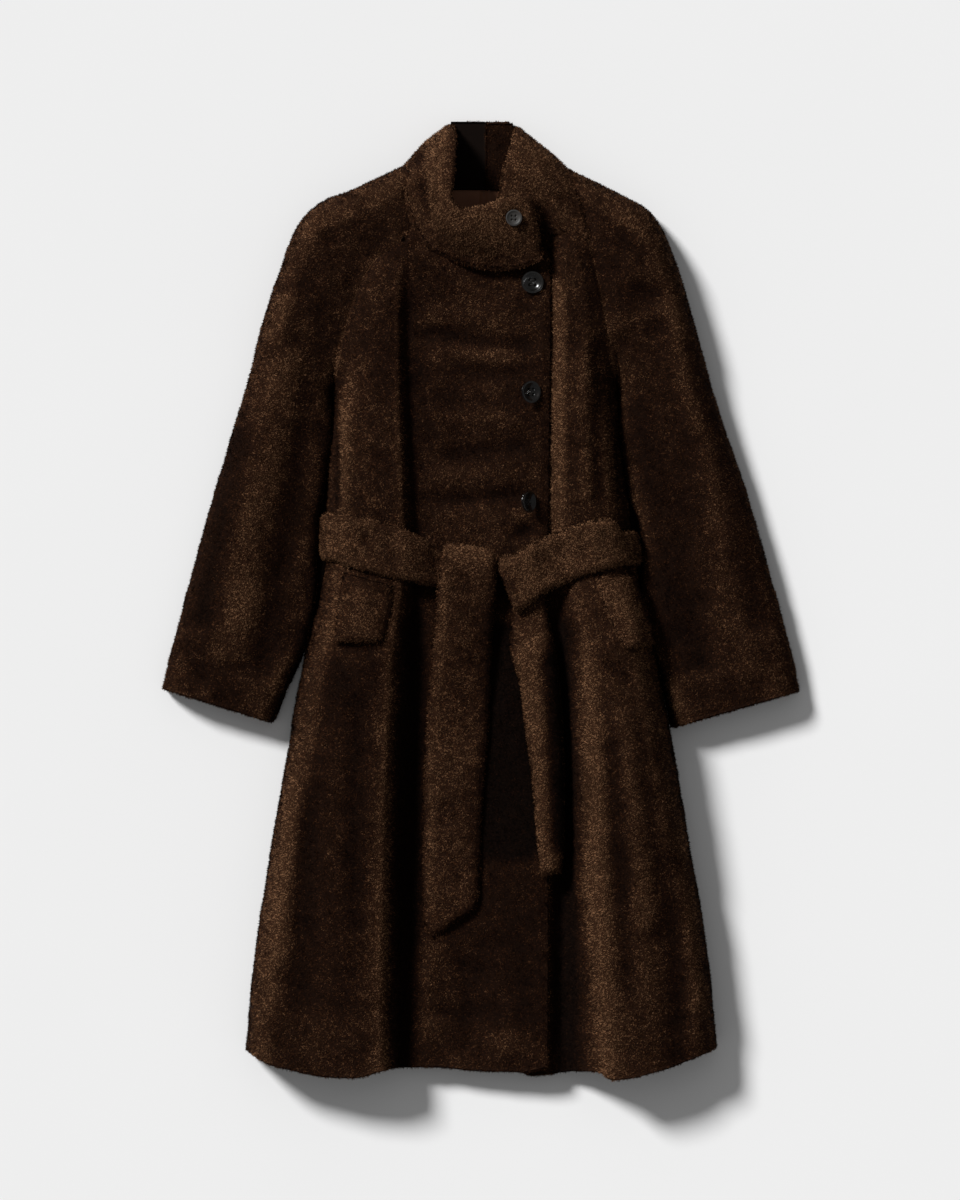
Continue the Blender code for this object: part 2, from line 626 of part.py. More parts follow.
def stretch_grid(side, table, columns):
    """Outer face of a stretch of belt: from below the back, round the side and over the
    front to the knot."""
    table_x = column(table, 0)
    end = table[0] if side < 0 else table[-1]
    x = np.array(columns, float)[None, :]
    y = curve(table_x, column(table, 1), x) + STRETCH_ROWS * curve(table_x, column(table, 2), x)
    lift = curve(table_x, column(table, 3), x) + 0 * y
    top = grid_of(x, y, top_height(x + 0 * y, y))
    side_y = end[1] + STRETCH_ROWS * end[2]
    edge = side_x(side, side_y)
    height = right_height if side < 0 else left_height
    up_x = edge - side * SIDE_ROUND * (1 - np.cos(TURN[:2]))
    up = grid_of(up_x, side_y, height(up_x, side_y + 0 * up_x))
    seam = grid_of(edge, side_y, seam_height(side_y))
    down_x = edge - side * np.hstack([BELT_TURN_UNDER, BACK_ROUND * (1 - np.cos(TURN[::-1]))])
    down = grid_of(down_x, side_y, back_height(down_x, side_y + 0 * down_x))
    wrap = np.concatenate([down, seam, up], 1)
    top_lay = BELT_LAY - LAY
    lift = lift + top_lay
    wrap_lift = top_lay * np.array([0, 0, 0.6, 1, 1, 1, 1]) + 0 * wrap[..., 0]
    if side < 0:
        grid = np.concatenate([wrap, top], 1)
        lift = np.concatenate([wrap_lift, lift], 1)
    else:
        grid = np.concatenate([top, wrap[:, ::-1]], 1)
        lift = np.concatenate([lift, wrap_lift[:, ::-1]], 1)
    return grid + normals(grid) * (LAY + BELT_CLOTH + lift)[..., None]


def tail_grid(table):
    """Outer face of a hanging belt end, rows from the knot down, crowned between its
    rims; its heights are above the right front, carried on past its edge."""
    left_x, left_y, right_x, right_y, left_z, middle_z, right_z = np.array(table, float).T[:, :, None]
    share = np.linspace(0, 1, 5)[None, :]
    x = left_x + (right_x - left_x) * share
    y = left_y + (right_y - left_y) * share
    edge = lines_at(RIGHT_SECTIONS, y)[0][..., -1]
    crown = 4 * share * (1 - share)
    rim = left_z + (right_z - left_z) * share
    lift = rim + (middle_z - (left_z + right_z) / 2) * crown
    return grid_of(x, y, right_height(np.minimum(x, edge), y) + lift)


def build_belt():
    """Tie belt: the stretch below the back, two stretches round the front, two tails."""
    cloth("belt_right", stretch_grid(-1, BELT_RIGHT, RIGHT_BELT_COLUMNS), BELT_CLOTH, PILE)
    cloth("belt_left", stretch_grid(1, BELT_LEFT, LEFT_BELT_COLUMNS), BELT_CLOTH, PILE)
    right_end, left_end = BELT_RIGHT[0], BELT_LEFT[-1]
    gap = BELT_TURN_UNDER + BACK_BELT_GAP
    x = np.linspace(left_end[0] - gap, right_end[0] + gap, 7)[None, :]
    share = (x - right_end[0]) / (left_end[0] - right_end[0])
    middle = right_end[1] + (left_end[1] - right_end[1]) * share
    width = right_end[2] + (left_end[2] - right_end[2]) * share
    cloth("belt_back", grid_of(x, middle + STRETCH_ROWS * width, 0.0), BELT_CLOTH, PILE)
    cloth("tail_front", tail_grid(FRONT_TAIL), BELT_CLOTH, PILE)
    cloth("tail_rear", tail_grid(REAR_TAIL), BELT_CLOTH, PILE)


# ---------------------------------------------------------------- pockets
def build_welts():
    """Slanted welts of the two hand pockets."""
    for name, table in (("welt_right", RIGHT_WELT), ("welt_left", LEFT_WELT)):
        left_x, right_x, left_y, right_y, left_z, right_z = np.array(table, float).T[:, :, None]
        share = np.linspace(0, 1, 5)[None, :]
        x = left_x + (right_x - left_x) * share
        y = left_y + (right_y - left_y) * share
        lift = left_z + (right_z - left_z) * share
        grid = grid_of(x, y, top_height(x, y))
        grid += normals(grid) * (lift + LAY + WELT_CLOTH)[..., None]
        cloth(name, grid, WELT_CLOTH, PILE)


# ---------------------------------------------------------------- buttons
def button(name, x, y, diameter, lean, seat_z, finish):
    """Turned button with a raised rim and a shallow dish, its back at seat_z."""
    radius = diameter / 2
    mesh = bpy.data.meshes.new(name)
    points = [(share * radius * MM, 0.0, z * MM) for share, z in BUTTON_SECTION]
    mesh.from_pydata(points, [(i, i + 1) for i in range(len(points) - 1)], [])
    mesh.materials.append(finish)
    piece = bpy.data.objects.new(name, mesh)
    PARTS.objects.link(piece)
    turn = piece.modifiers.new("turn", "SCREW")
    turn.steps = BUTTON_STEPS
    turn.render_steps = BUTTON_STEPS
    turn.use_merge_vertices = True
    turn.merge_threshold = 0.00001
    piece.location = (x * MM, y * MM, seat_z * MM)
    piece.rotation_euler = (0.0, math.radians(lean), 0.0)
    return piece


def build_buttons():
    """Three glossy buttons on the front and a plain one on the collar tab."""
    for name, x, y, lean, rise in FRONT_BUTTONS:
        under = right_height(np.array([float(x)]), np.array([float(y)]))[0]
        button(name, x, y, COAT_BUTTON, lean, under + rise, GLOSS)
    tab = collar_grid()[:, -TAB_STATIONS:].reshape(-1, 3)
    nearest = np.argmin(np.hypot(tab[:, 0] - TAB_PLACE[0], tab[:, 1] - TAB_PLACE[1]))
    button("button_tab", *TAB_PLACE, TAB_BUTTON, TAB_LEAN, tab[nearest, 2] + TAB_RISE, MATTE)


for thing in list(bpy.data.objects):
    bpy.data.objects.remove(thing, do_unlink=True)
PARTS = bpy.data.collections.new("wool_coat")
bpy.context.scene.collection.children.link(PARTS)
PILE = material("brown_pile", (0.045, 0.028, 0.018), 0.95)
SATIN = material("brown_satin", (0.05, 0.022, 0.014), 0.4)
GLOSS = material("dark_gloss_button", (0.02, 0.017, 0.016), 0.15)
MATTE = material("grey_matte_button", (0.07, 0.065, 0.055), 0.6)
build_back()
build_fronts()
build_sleeves()
build_collar()
build_belt()
build_welts()
build_buttons()
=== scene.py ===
"""Looks of a long wool pile coat that lies flat: pile cloth, tie belt, buttons, soft light.

Lengths are in millimetres and become metres where a mesh is made. +Z is up, +Y runs to
the collar and +X to the wearer's left. "right" and "left" are the wearer's.

Every piece of cloth is a fine grid worked out from the same sections as its CAD solid,
pressed with the creases that the real one shows, and closed with a rounded rim. Its pile
is a second piece: thousands of short blades that lean together in curls.
"""

import math

import bpy
import numpy as np
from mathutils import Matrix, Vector


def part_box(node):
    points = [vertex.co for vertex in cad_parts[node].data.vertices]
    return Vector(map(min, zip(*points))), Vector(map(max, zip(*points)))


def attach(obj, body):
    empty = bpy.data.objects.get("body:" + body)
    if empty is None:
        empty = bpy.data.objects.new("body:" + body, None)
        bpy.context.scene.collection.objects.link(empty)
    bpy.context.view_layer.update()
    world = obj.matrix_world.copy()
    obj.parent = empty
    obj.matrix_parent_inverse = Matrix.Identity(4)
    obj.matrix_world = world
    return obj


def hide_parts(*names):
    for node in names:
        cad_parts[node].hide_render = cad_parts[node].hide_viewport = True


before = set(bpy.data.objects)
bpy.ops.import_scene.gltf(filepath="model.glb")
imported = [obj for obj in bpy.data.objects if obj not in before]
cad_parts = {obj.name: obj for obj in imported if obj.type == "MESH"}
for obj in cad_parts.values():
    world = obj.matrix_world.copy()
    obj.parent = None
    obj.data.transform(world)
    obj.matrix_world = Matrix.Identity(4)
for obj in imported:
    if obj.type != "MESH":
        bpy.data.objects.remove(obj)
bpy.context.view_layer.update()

MM = 0.001

# ---------------------------------------------------------------- measures
CLOTH = 5.0
COLLAR_CLOTH = 8.0
BELT_CLOTH = 7.0
WELT_CLOTH = 5.0
SEAM = 1.0              # in plan, between two sewn pieces
LAY = 0.6               # between two pieces, one above the other
BELT_LAY = 2.6          # between the belt and the folds that it crosses
OVERLAP_DROP = 8.5      # the left front's face below the right front's, where they overlap
UNDERARM = 246.0        # y of the underarm point
ARM_OPEN = 55.0         # length over which the side closes below the armhole
SIDE_ROUND = 30.0       # how far in the side's rounding reaches
SIDE_MIDDLE = 12.0      # height of the side seam
BACK_ROUND = 14.0       # how far in the back's rounding reaches
BELT_BAND = (0.0, 30.0, 140.0, 30.0)   # y where the belt lifts the back: from, fade, to, fade
LOWEST = 0.4            # least height of any point over the surface
NECK_TUCK = 9.0         # how far fronts and sleeves go on below the collar
NECK_TUCK_FALL = 0.06   # share of their height that they lose there
SIDE_TUCK = 6.5         # how far fronts and sleeves go on below each other
SIDE_TUCK_FALL = 0.1    # share of their height that they lose there
BARE_TUCK = 0.5         # how far they go on below the underarm

# Side line of the body: y, x of the right side, x of the left side
SIDE = (
    (-591, -291, 291), (-555, -290, 290), (-501, -286, 286), (-430, -277, 277),
    (-346, -265, 264), (-270, -252, 251), (-192, -238, 238), (-110, -225, 222),
    (-50, -212, 210), (0, -199, 198), (60, -190, 188), (123, -190, 180),
    (190, -188, 175), (246, -184, 169), (290, -177, 163), (333, -168, 155),
    (355, -161, 151), (385, -150, 145), (417, -131, 138), (436, -105, 134),
    (458, -80, 131),
)

# Lengthwise folds of the fronts: y, x of each fold line, height of each fold line. The
# right front's lines are its side, three of its roll, the valley, two of its panel and
# its edge. The left front's are its hidden edge, the line below the right front's edge,
# three up its roll, two of its plateau and its side.
RIGHT_SECTIONS = (
    (-591, (-291, -255, -190, -122, -96, -35, 25, 81), (58, 58, 64, 62, 24, 27, 30, 34)),
    (-500, (-286, -250, -188, -124, -94, -35, 25, 82), (60, 60, 66, 64, 24, 29, 33, 37)),
    (-350, (-265, -232, -175, -122, -92, -35, 25, 82), (64, 66, 72, 70, 27, 33, 38, 42)),
    (-200, (-239, -206, -160, -118, -86, -32, 25, 81), (66, 70, 76, 74, 31, 38, 43, 46)),
    (-60, (-214, -184, -148, -110, -80, -30, 25, 80), (66, 72, 78, 76, 42, 48, 50, 52)),
    (60, (-190, -164, -133, -98, -76, -28, 28, 81), (54, 60, 64, 64, 48, 50, 53, 56)),
    (150, (-190, -164, -134, -99, -85, -30, 28, 83), (56, 62, 68, 70, 52, 54, 60, 61)),
    (246, (-184, -158, -136, -103, -89, -30, 28, 84), (54, 62, 68, 70, 55, 56, 61, 62)),
    (333, (-168, -152, -128, -104, -89, -35, 25, 85), (52, 60, 66, 67, 56, 56, 60, 62)),
    (385, (-150, -140, -124, -103, -89, -38, 25, 85), (53, 60, 66, 66, 58, 56, 59, 61)),
    (417, (-131, -125, -113, -98, -86, -42, 25, 84), (55, 58, 60, 60, 58, 56, 57, 58)),
    (458, (-80, -77, -74, -71, -67, -52, 20, 84), (51, 51, 52, 52, 51, 50, 54, 57)),
)
RIGHT_NECK = (459, 456, 453, 449, 444, 434, 428, 424)
RIGHT_HEM = (
    (-291, -555), (-265, -570), (-240, -577), (-210, -583), (-179, -588), (-150, -587),
    (-128, -580), (-105, -576), (-55, -576), (0, -581), (55, -582), (78, -579), (84, -572),
)
LEFT_SECTIONS = (
    (-591, (50, 80, 100, 128, 160, 210, 252, 291), (0, 26, 18, 38, 66, 64, 56, 56)),
    (-500, (49, 82, 100, 126, 158, 206, 248, 286), (0, 28, 20, 42, 70, 68, 60, 60)),
    (-350, (47, 82, 99, 120, 149, 190, 228, 264), (0, 33, 24, 48, 76, 76, 68, 66)),
    (-200, (45, 81, 97, 117, 142, 175, 205, 239), (0, 37, 32, 54, 82, 84, 78, 72)),
    (-60, (42, 80, 95, 112, 130, 160, 185, 212), (0, 43, 44, 60, 78, 82, 78, 70)),
    (60, (38, 81, 90, 100, 112, 138, 162, 188), (0, 47, 50, 56, 62, 64, 60, 54)),
    (150, (35, 83, 89, 97, 106, 132, 152, 178), (0, 55, 58, 63, 68, 70, 66, 58)),
    (246, (32, 84, 90, 98, 106, 130, 148, 169), (0, 56, 59, 64, 68, 70, 65, 56)),
    (333, (30, 85, 91, 98, 106, 126, 140, 155), (0, 55, 59, 63, 67, 67, 62, 54)),
    (385, (28, 85, 91, 97, 104, 122, 134, 145), (0, 55, 58, 61, 63, 64, 60, 54)),
    (417, (26, 84, 90, 96, 103, 116, 127, 138), (0, 52, 54, 58, 61, 62, 59, 55)),
    (458, (24, 84, 89, 94, 100, 112, 122, 131), (0, 51, 53, 56, 58, 60, 58, 56)),
)
LEFT_NECK = (455, 453, 452, 451, 450, 448, 447, 446)
LEFT_HEM = (
    (45, -580), (55, -586), (70, -587), (93, -584), (110, -581), (145, -580), (160, -590),
    (175, -590), (203, -583), (228, -577), (253, -567), (277, -558), (291, -553),
)
BACK_HEM_RISE = 7.0
BACK_COVER = 11.0       # how far the back reaches below the sleeves' inner seams

# Sleeve sections, neck to cuff: x and y of the seam end on top, x and y of the outer
# fold, crown height, height of the outer fold, bend of the section towards the neck.
RIGHT_SLEEVE = (
    (-82, 456, -98, 534, 50, 14, -4), (-107, 434, -127, 520, 56, 14, -1),
    (-132, 415, -160, 505, 60, 15, 0), (-150, 384, -190, 494, 62, 16, 0),
    (-161, 354, -212, 480, 62, 16, 0), (-168, 332, -226, 461, 61, 16, 0),
    (-177, 290, -250, 400, 58, 16, 0), (-184, 246, -268, 345, 55, 16, 0),
    (-190, 190, -289, 270, 51, 15, 0), (-200, 123, -313, 185, 48, 15, 0),
    (-202, 60, -337, 103, 46, 14, 0), (-208, 0, -356, 35, 44, 14, 0),
    (-217, -50, -370, -20, 42, 13, 0), (-239, -105, -384, -68, 39, 13, 0),
    (-258, -151, -393.5, -109, 36, 12, 0),
)
LEFT_SLEEVE = (
    (131, 446, 105, 533, 50, 14, 5), (136, 425, 130, 521, 56, 14, 2),
    (140, 407, 160, 506, 60, 15, 0), (147, 377, 190, 490, 62, 16, 0),
    (152, 349, 209, 477, 62, 16, 0), (156, 328, 223, 458, 61, 16, 0),
    (163, 288, 246, 400, 58, 16, 0), (169, 246, 262, 345, 55, 16, 0),
    (178, 190, 281, 272, 51, 15, 0), (190, 123, 310, 186, 48, 15, 0),
    (201, 60, 336, 105, 46, 14, 0), (202, 0, 356, 36, 44, 14, 0),
    (212, -50, 371, -20, 42, 13, 0), (225, -105, 384, -68, 39, 13, 0),
    (237, -157, 393.5, -112, 36, 12, 0),
)
SLEEVE_DIP = 0.72       # height of the sleeve beside the body, as a share of its crown
FREE_DIP = 0.94         # the same where the sleeve hangs clear of the body
FREE_CUFF = -80.0       # y below which the sleeve hangs clear of the body

# Collar, from the end of its tab, round the right of the neck and the back, to the open
# left wing: x, y, z of the neck seam, x, y, z of the free edge, bulge outwards.
COLLAR = (
    (75, 422, 73, 62, 498, 79, 3), (53, 413, 72, 44, 499, 81, 4),
    (30, 409, 71, 22, 491, 83, 5), (3, 410, 70, 0, 484, 84, 6),
    (-25, 417, 66, -17, 481, 85, 7), (-50, 428, 60, -29, 486, 86, 6),
    (-67, 440, 58, -34, 499, 86, 4), (-79, 459, 56, -33, 518, 85, 2),
    (-86.8, 480, 54, -33, 541, 80, 2), (-92, 505, 50, -33, 562, 70, 2),
    (-95.4, 523, 34, -35, 578, 52, 3), (-95.6, 536, 16, -38, 588, 28, 4),
    (-87, 533, 3, -36, 590, 8, 2), (-70, 523, 0, -28, 590, 0, 0),
    (-44, 512, 0, -16, 590, 0, 0), (0, 509, 0, 3, 590, 0, 0),
    (36, 511, 0, 22, 590, 0, 0), (60, 518, 0, 34, 590, 0, 0),
    (88, 530, 3, 42, 588, 5, 0), (101, 536, 16, 44, 585, 16, 2),
    (107, 526, 37, 40, 572, 38, 5), (114, 509, 48, 34, 552, 52, 6),
    (119, 492, 51, 28, 532, 58, 5), (124, 472, 54, 24, 510, 59, 4),
    (128, 454, 57, 20, 488, 58, 3), (129, 448, 58, 18, 470, 57, 2),
)
COLLAR_STEPS = 11

# Belt stretches: x, y of the middle, width along y, lift over the front
BELT_RIGHT = (
    (-190, 77, 57, 0), (-156, 71, 64, 0), (-112, 60, 64, 0), (-78, 49, 58, 5),
    (-50, 38, 44, 3), (-20, 33, 38, 0),
)
BELT_LEFT = (
    (20, 45, 7, 10), (28, 38, 28, 11.4), (36, 30, 49, 12), (43, 21, 72, 12.4), (57, 28, 73, 12.4),
    (75, 39, 70, 9.4), (104, 53, 66, 2), (134, 64, 63, 0), (162, 69, 60, 0), (188, 63, 40, 0),
)
BELT_TURN_UNDER = 24.0
# Buttons: node, x, y, radius, lean to the wearer's left in degrees, lift off the CAD node
BUTTONS = (
    ("button_top", 63, 390, 13.5, 4, 0.3), ("button_middle", 60, 255, 13.5, 32, 0.3),
    ("button_low", 57, 120, 13.5, 52, 0.3), ("button_tab", 40, 468, 10.0, 3, 0.8),
)
# Form of a button's face: share of the radius, height over its back, which is HALF_BUTTON
# below its middle; then its holes and its lathe marks.
BUTTON_FORM = (
    (0, 2.3), (0.3, 2.4), (0.6, 2.75), (0.74, 3.3), (0.86, 3.95), (0.93, 4.0), (0.98, 3.6), (1.0, 3.0),
)
HALF_BUTTON = 2.0
HOLE_PLACE = 0.23       # of the radius, along x and y
HOLE_RADIUS = 0.11      # of the radius
HOLE_DEPTH = 2.0
TURNING_MARK = 0.6      # width of a lathe mark
TURNING_SLOPE = 22.0    # its slope in degrees, falling towards the middle
BACK_BELT_GAP = 4.0
# Tails: x, y of the left rim, x, y of the right rim, heights of left rim, middle and
# right rim above the front.
FRONT_TAIL = (
    (-42, 70, 16, 58, 13, 14, 13), (-44, 71, 17, 60, 21, 22, 21), (-46, 64, 18, 52, 26, 28, 26),
    (-49, 48, 18, 38, 27, 29, 27), (-53, 20, 17, 14, 24, 26, 24), (-56, -10, 16, -14, 19, 21, 19),
    (-59, -50, 13, -52, 14, 16, 14), (-63, -95, 11, -95, 11, 12, 11), (-68, -160, 8, -160, 9, 10, 9),
    (-71, -230, 2, -230, 9, 10, 9), (-72, -300, -2, -300, 9, 10, 9), (-72, -350, -3, -348, 9, 10, 9),
    (-71, -395, -4, -366, 9, 10, 9), (-62, -417, -8, -382, 9, 10, 9),
)
REAR_TAIL = (
    (42, 4, 78, 4, 9, 10, 9), (40, -18, 82, -18, 9, 12, 9), (34, -48, 90, -48, 9, 17, 9),
    (36, -72, 95, -72, 9, 20, 9), (46, -105, 99, -105, 9, 20, 9), (52, -155, 103, -155, 9, 20, 9),
    (60, -215, 105, -215, 9, 19, 9), (65, -270, 105, -270, 9, 18, 9),
    (70, -318, 103, -318, 9, 16, 9), (74, -342, 100, -336, 9, 13, 9),
)
# Pocket welts, top to bottom: left x, right x, left y, right y, lift of both rims
RIGHT_WELT = ((-168, -108, 32, 16, 1, 0), (-172, -109, 5, -4, 5, 0), (-176, -114, -25, -28, 5, 0),
              (-178, -119, -52, -52, 4, 0))
LEFT_WELT = ((142, 184, 26, 29, 0.3, 2), (151, 193, -6, -1, 0.3, 5), (163, 200, -34, -30, 0.3, 5),
             (177, 205, -60, -56, 0.3, 4))

# Creases pressed into the cloth, for each piece: half width, height (below 0 a valley)
# and the points that the crease runs through. Heights in millimetres, along the cloth's
# outward direction; each crease fades out at both of its ends.
CREASES = {
    "front_right": (
        (9, -3.2, ((-88, 322), (-50, 327), (-10, 318), (40, 312), (78, 316))),
        (14, 2.2, ((-80, 350), (-20, 352), (50, 345))),
        (11, -2.4, ((-30, 281), (20, 277), (70, 283))),
        (14, 2.4, ((-78, 298), (-10, 300), (60, 296))),
        (14, 2.8, ((-70, 222), (0, 226), (66, 220))),
        (10, -3.0, ((-60, 176), (10, 184), (72, 190))),
        (14, 2.4, ((-70, 150), (0, 156), (70, 152))),
        (9, -3.2, ((-86, 128), (-40, 122), (10, 124), (60, 132))),
        (8, -2.6, ((30, 70), (56, 84), (76, 92))),
        (11, 2.4, ((24, 92), (52, 104), (76, 108))),
        (5, -6.0, ((-181, 262), (-181, 200), (-178, 130), (-176, 104))),
        (6, 2.0, ((-170, 262), (-168, 200), (-167, 130), (-167, 104))),
        (16, 3.0, ((-250, -180), (-236, -320), (-244, -470))),
        (18, -2.6, ((-212, -120), (-214, -300), (-222, -520))),
        (14, -2.4, ((-150, -100), (-156, -260), (-152, -420))),
        (12, -2.6, ((-180, -40), (-150, -60), (-118, -66))),
        (16, 3.0, ((-62, -160), (-64, -400), (-62, -560))),
        (18, -3.0, ((-20, -430), (-18, -500), (-14, -570))),
        (18, 2.6, ((28, -420), (30, -500), (32, -575))),
        (12, -2.4, ((-70, -500), (-20, -512), (40, -506))),
    ),
    "front_left": (
        (5, -6.0, ((167, 236), (169, 180), (172, 116))),
        (12, 2.6, ((128, 340), (126, 250), (128, 150), (134, 110))),
        (12, -3.0, ((146, 330), (143, 250), (144, 160), (150, 110))),
        (9, -2.2, ((100, 190), (118, 184), (140, 190))),
        (18, 4.0, ((266, -330), (270, -420), (276, -520))),
        (16, -3.4, ((238, -300), (244, -420), (250, -540))),
        (16, 3.0, ((176, -120), (190, -260), (206, -420))),
        (14, -2.6, ((160, -160), (172, -320), (180, -500))),
        (12, -3.0, ((150, -70), (170, -90), (196, -110))),
    ),
    "sleeve_right": (
        (26, 4.5, ((-238, 390), (-262, 250), (-290, 120), (-312, 0), (-318, -90))),
        (20, -4.0, ((-262, 330), (-290, 200), (-320, 80), (-344, -40))),
        (18, -3.6, ((-214, 230), (-232, 100), (-250, 0), (-270, -110))),
        (14, -2.8, ((-170, 400), (-182, 440), (-206, 458))),
        (14, 1.8, ((-150, 452), (-164, 472), (-190, 476))),
        (18, -3.4, ((-350, -40), (-352, -80), (-350, -120))),
        (14, -2.2, ((-200, 300), (-226, 318), (-246, 340))),
    ),
    "sleeve_left": (
        (24, -5.0, ((196, 400), (222, 280), (246, 160), (262, 40), (276, -100))),
        (26, 4.0, ((230, 380), (262, 240), (294, 110), (318, -10), (330, -110))),
        (18, -3.2, ((256, 330), (290, 200), (322, 70), (346, -50))),
        (14, -2.4, ((160, 420), (176, 440), (200, 446))),
        (14, 2.4, ((150, 470), (176, 470), (206, 440))),
        (14, -2.4, ((190, 320), (214, 330), (238, 350))),
    ),
    "collar": (
        (13, -4.0, ((18, 464), (40, 468), (62, 470))),
    ),
    "belt": (
        (7, -1.8, ((-150, 96), (-140, 70), (-138, 44))),
        (8, 1.6, ((-100, 86), (-94, 60), (-98, 34))),
        (7, -1.8, ((-66, 66), (-56, 46), (-62, 24))),
        (7, -1.8, ((68, 66), (80, 40), (76, 8))),
        (7, -1.6, ((120, 92), (128, 66), (124, 36))),
    ),
}

# Streaks of painted light (above 0) and of painted shade and shadow (below 0) in the
# nap's tone: half width, change of the tone and the points that the streak runs through.
PAINTED_LIGHT_STREAKS = {
    "front_right_cloth": (
        (16, 0.08, ((-60, 368), (60, 372))),
        (44, -0.76, ((32, -20), (34, -180), (38, -330))),
        (50, -0.14, ((34, -240), (36, -380), (38, -540))),
        (20, -0.30, ((-90, -10), (-90, -200), (-84, -440))),
        (45, -0.20, ((-165, -60), (-178, -300), (-188, -520))),
        (16, 0.12, ((-240, -160), (-252, -330), (-262, -520))),
        (9, 0.35, ((60, 176), (64, 152), (62, 130))),
        (4, -0.90, ((38, 255), (56, 255))),
        (10, -0.40, ((24, 36), (34, 6), (40, -20))),
    ),
    "front_left_cloth": (
        (9, 0.70, ((95, 400), (95, 250), (94, 120), (93, 50))),
        (13, 0.22, ((130, -60), (138, -200), (148, -400))),
        (13, -0.35, ((104, -10), (104, -200), (104, -400), (102, -560))),
    ),
    "sleeve_right_cloth": (
        (20, 0.20, ((-214, 350), (-244, 240), (-266, 140), (-288, 40), (-300, -70))),
        (24, -0.34, ((-290, 220), (-326, 90), (-352, -50))),
        (10, -0.40, ((-186, 230), (-196, 120), (-206, 0), (-228, -80))),
    ),
    "sleeve_left_cloth": (
        (24, -0.32, ((186, 260), (212, 120), (230, 0), (246, -110))),
        (30, -0.06, ((250, 300), (292, 140), (320, 0), (332, -90))),
    ),
    "collar_cloth": (
        (8, 0.50, ((-42, 585), (-52, 560), (-60, 530), (-60, 500), (-58, 470), (-50, 446))),
        (22, 0.22, ((-20, 452), (30, 450), (62, 455))),
        (6, 0.32, ((-34, 494), (-16, 482), (5, 485), (26, 492), (54, 499))),
        (5, 0.20, ((66, 490), (74, 430))),
        (8, -0.50, ((77, 490), (80, 460), (83, 434))),
    ),
    "belt_left_cloth": (
        (12, -0.40, ((22, 48), (34, 20), (44, -8))),
    ),
    "tail_front_cloth": (
        (9, 0.25, ((-42, 62), (14, 54))),
        (8, 0.22, ((-40, 56), (-52, -60), (-60, -200), (-64, -400))),
        (10, -0.18, ((10, 10), (6, -160), (-6, -340))),
    ),
    "tail_rear_cloth": (
        (11, 0.25, ((42, -50), (54, -150), (64, -250), (72, -330))),
        (14, -0.80, ((84, -50), (92, -160), (98, -320))),
    ),
}


# ---------------------------------------------------------------- curves and noise
def column(table, index):
    """One column of a table, as an array."""
    return np.array([row[index] for row in table], float)


def slopes(x, v):
    """Monotone slopes at the points x, along the last axis, by the harmonic mean of the
    rise on both sides, and 0 where the rise changes sign."""
    rise = np.diff(v) / np.diff(x)
    low, high = rise[..., :-1], rise[..., 1:]
    same = low * high > 0
    mean = 2 * low * high / np.where(same, low + high, 1)
    return np.concatenate([rise[..., :1], np.where(same, mean, 0), rise[..., -1:]], -1)


def hermite(t, h, v0, v1, m0, m1):
    """Cubic from v0 to v1 with slopes m0 and m1 over a step h, read at the share t."""
    return (v0 * (1 + 2 * t) * (1 - t) ** 2 + h * m0 * t * (1 - t) ** 2
            + v1 * t ** 2 * (3 - 2 * t) - h * m1 * t ** 2 * (1 - t))


def curve(x, v, at):
    """Smooth monotone curve through the points (x, v), x rising, read at `at`."""
    x = np.asarray(x, float)
    v = np.asarray(v, float)
    m = slopes(x, v)
    at = np.clip(at, x[0], x[-1])
    i = np.clip(np.searchsorted(x, at, "right") - 1, 0, len(x) - 2)
    h = x[i + 1] - x[i]
    return hermite((at - x[i]) / h, h, v[i], v[i + 1], m[i], m[i + 1])


def across(x, v, at):
    """The same curve where every point of `at` has its own row of x and v."""
    m = slopes(x, v)
    at = np.clip(at, x[..., 0], x[..., -1])
    out = v[..., 0].copy()
    for i in range(x.shape[-1] - 1):
        h = x[..., i + 1] - x[..., i]
        t = np.clip((at - x[..., i]) / h, 0, 1)
        value = hermite(t, h, v[..., i], v[..., i + 1], m[..., i], m[..., i + 1])
        out = np.where(at >= x[..., i], value, out)
    return out


def smooth_step(t):
    """0 below 0, 1 above 1, and an even rise between."""
    t = np.clip(t, 0, 1)
    return t * t * (3 - 2 * t)


def rounded(t):
    """Quarter ellipse: 0 at 0, rising steeply and then ever less, to 1 at 1 and beyond."""
    return np.sqrt(1 - (1 - np.clip(t, 0, 1)) ** 2)


def blend(a, b, share):
    """a where the share is 0, b where it is 1, and evenly between."""
    return a + (b - a) * share


def within(at, low, low_fade, high, high_fade):
    """0 below `low` and above `high`, and 1 between after a smooth rise from each."""
    return smooth_step((at - low) / low_fade) * smooth_step((high - at) / high_fade)


def unit(vectors):
    """The vectors brought to length 1; one without length stays 0."""
    return vectors / np.maximum(np.linalg.norm(vectors, axis=-1, keepdims=True), 1e-9)


LATTICE = 32            # cells of the noise along each axis, after which it repeats
LATTICE_SHIFT = 500.0   # cells, so that no place in it is below 0


def soft_noise(points, size, seed):
    """Smooth noise from -1 to 1 with features about `size` mm wide: random values on a
    cubic lattice, blended with smooth steps between the eight around each point."""
    lattice = np.random.default_rng(seed).uniform(-1, 1, (LATTICE,) * 3)
    q = points / size + LATTICE_SHIFT
    low = np.floor(q).astype(int)
    t = smooth_step(q - low)
    total = np.zeros(points.shape[:-1])
    for corner in range(8):
        step = np.array([corner & 1, corner >> 1 & 1, corner >> 2])
        weight = np.prod(np.where(step, t, 1 - t), -1)
        i, j, k = np.moveaxis((low + step) % LATTICE, -1, 0)
        total += lattice[i, j, k] * weight
    return total


def uneven(points, layers):
    """Sum of soft noises, each given by its height, its size in mm and its seed."""
    return sum(height * soft_noise(points, size, seed) for height, size, seed in layers)


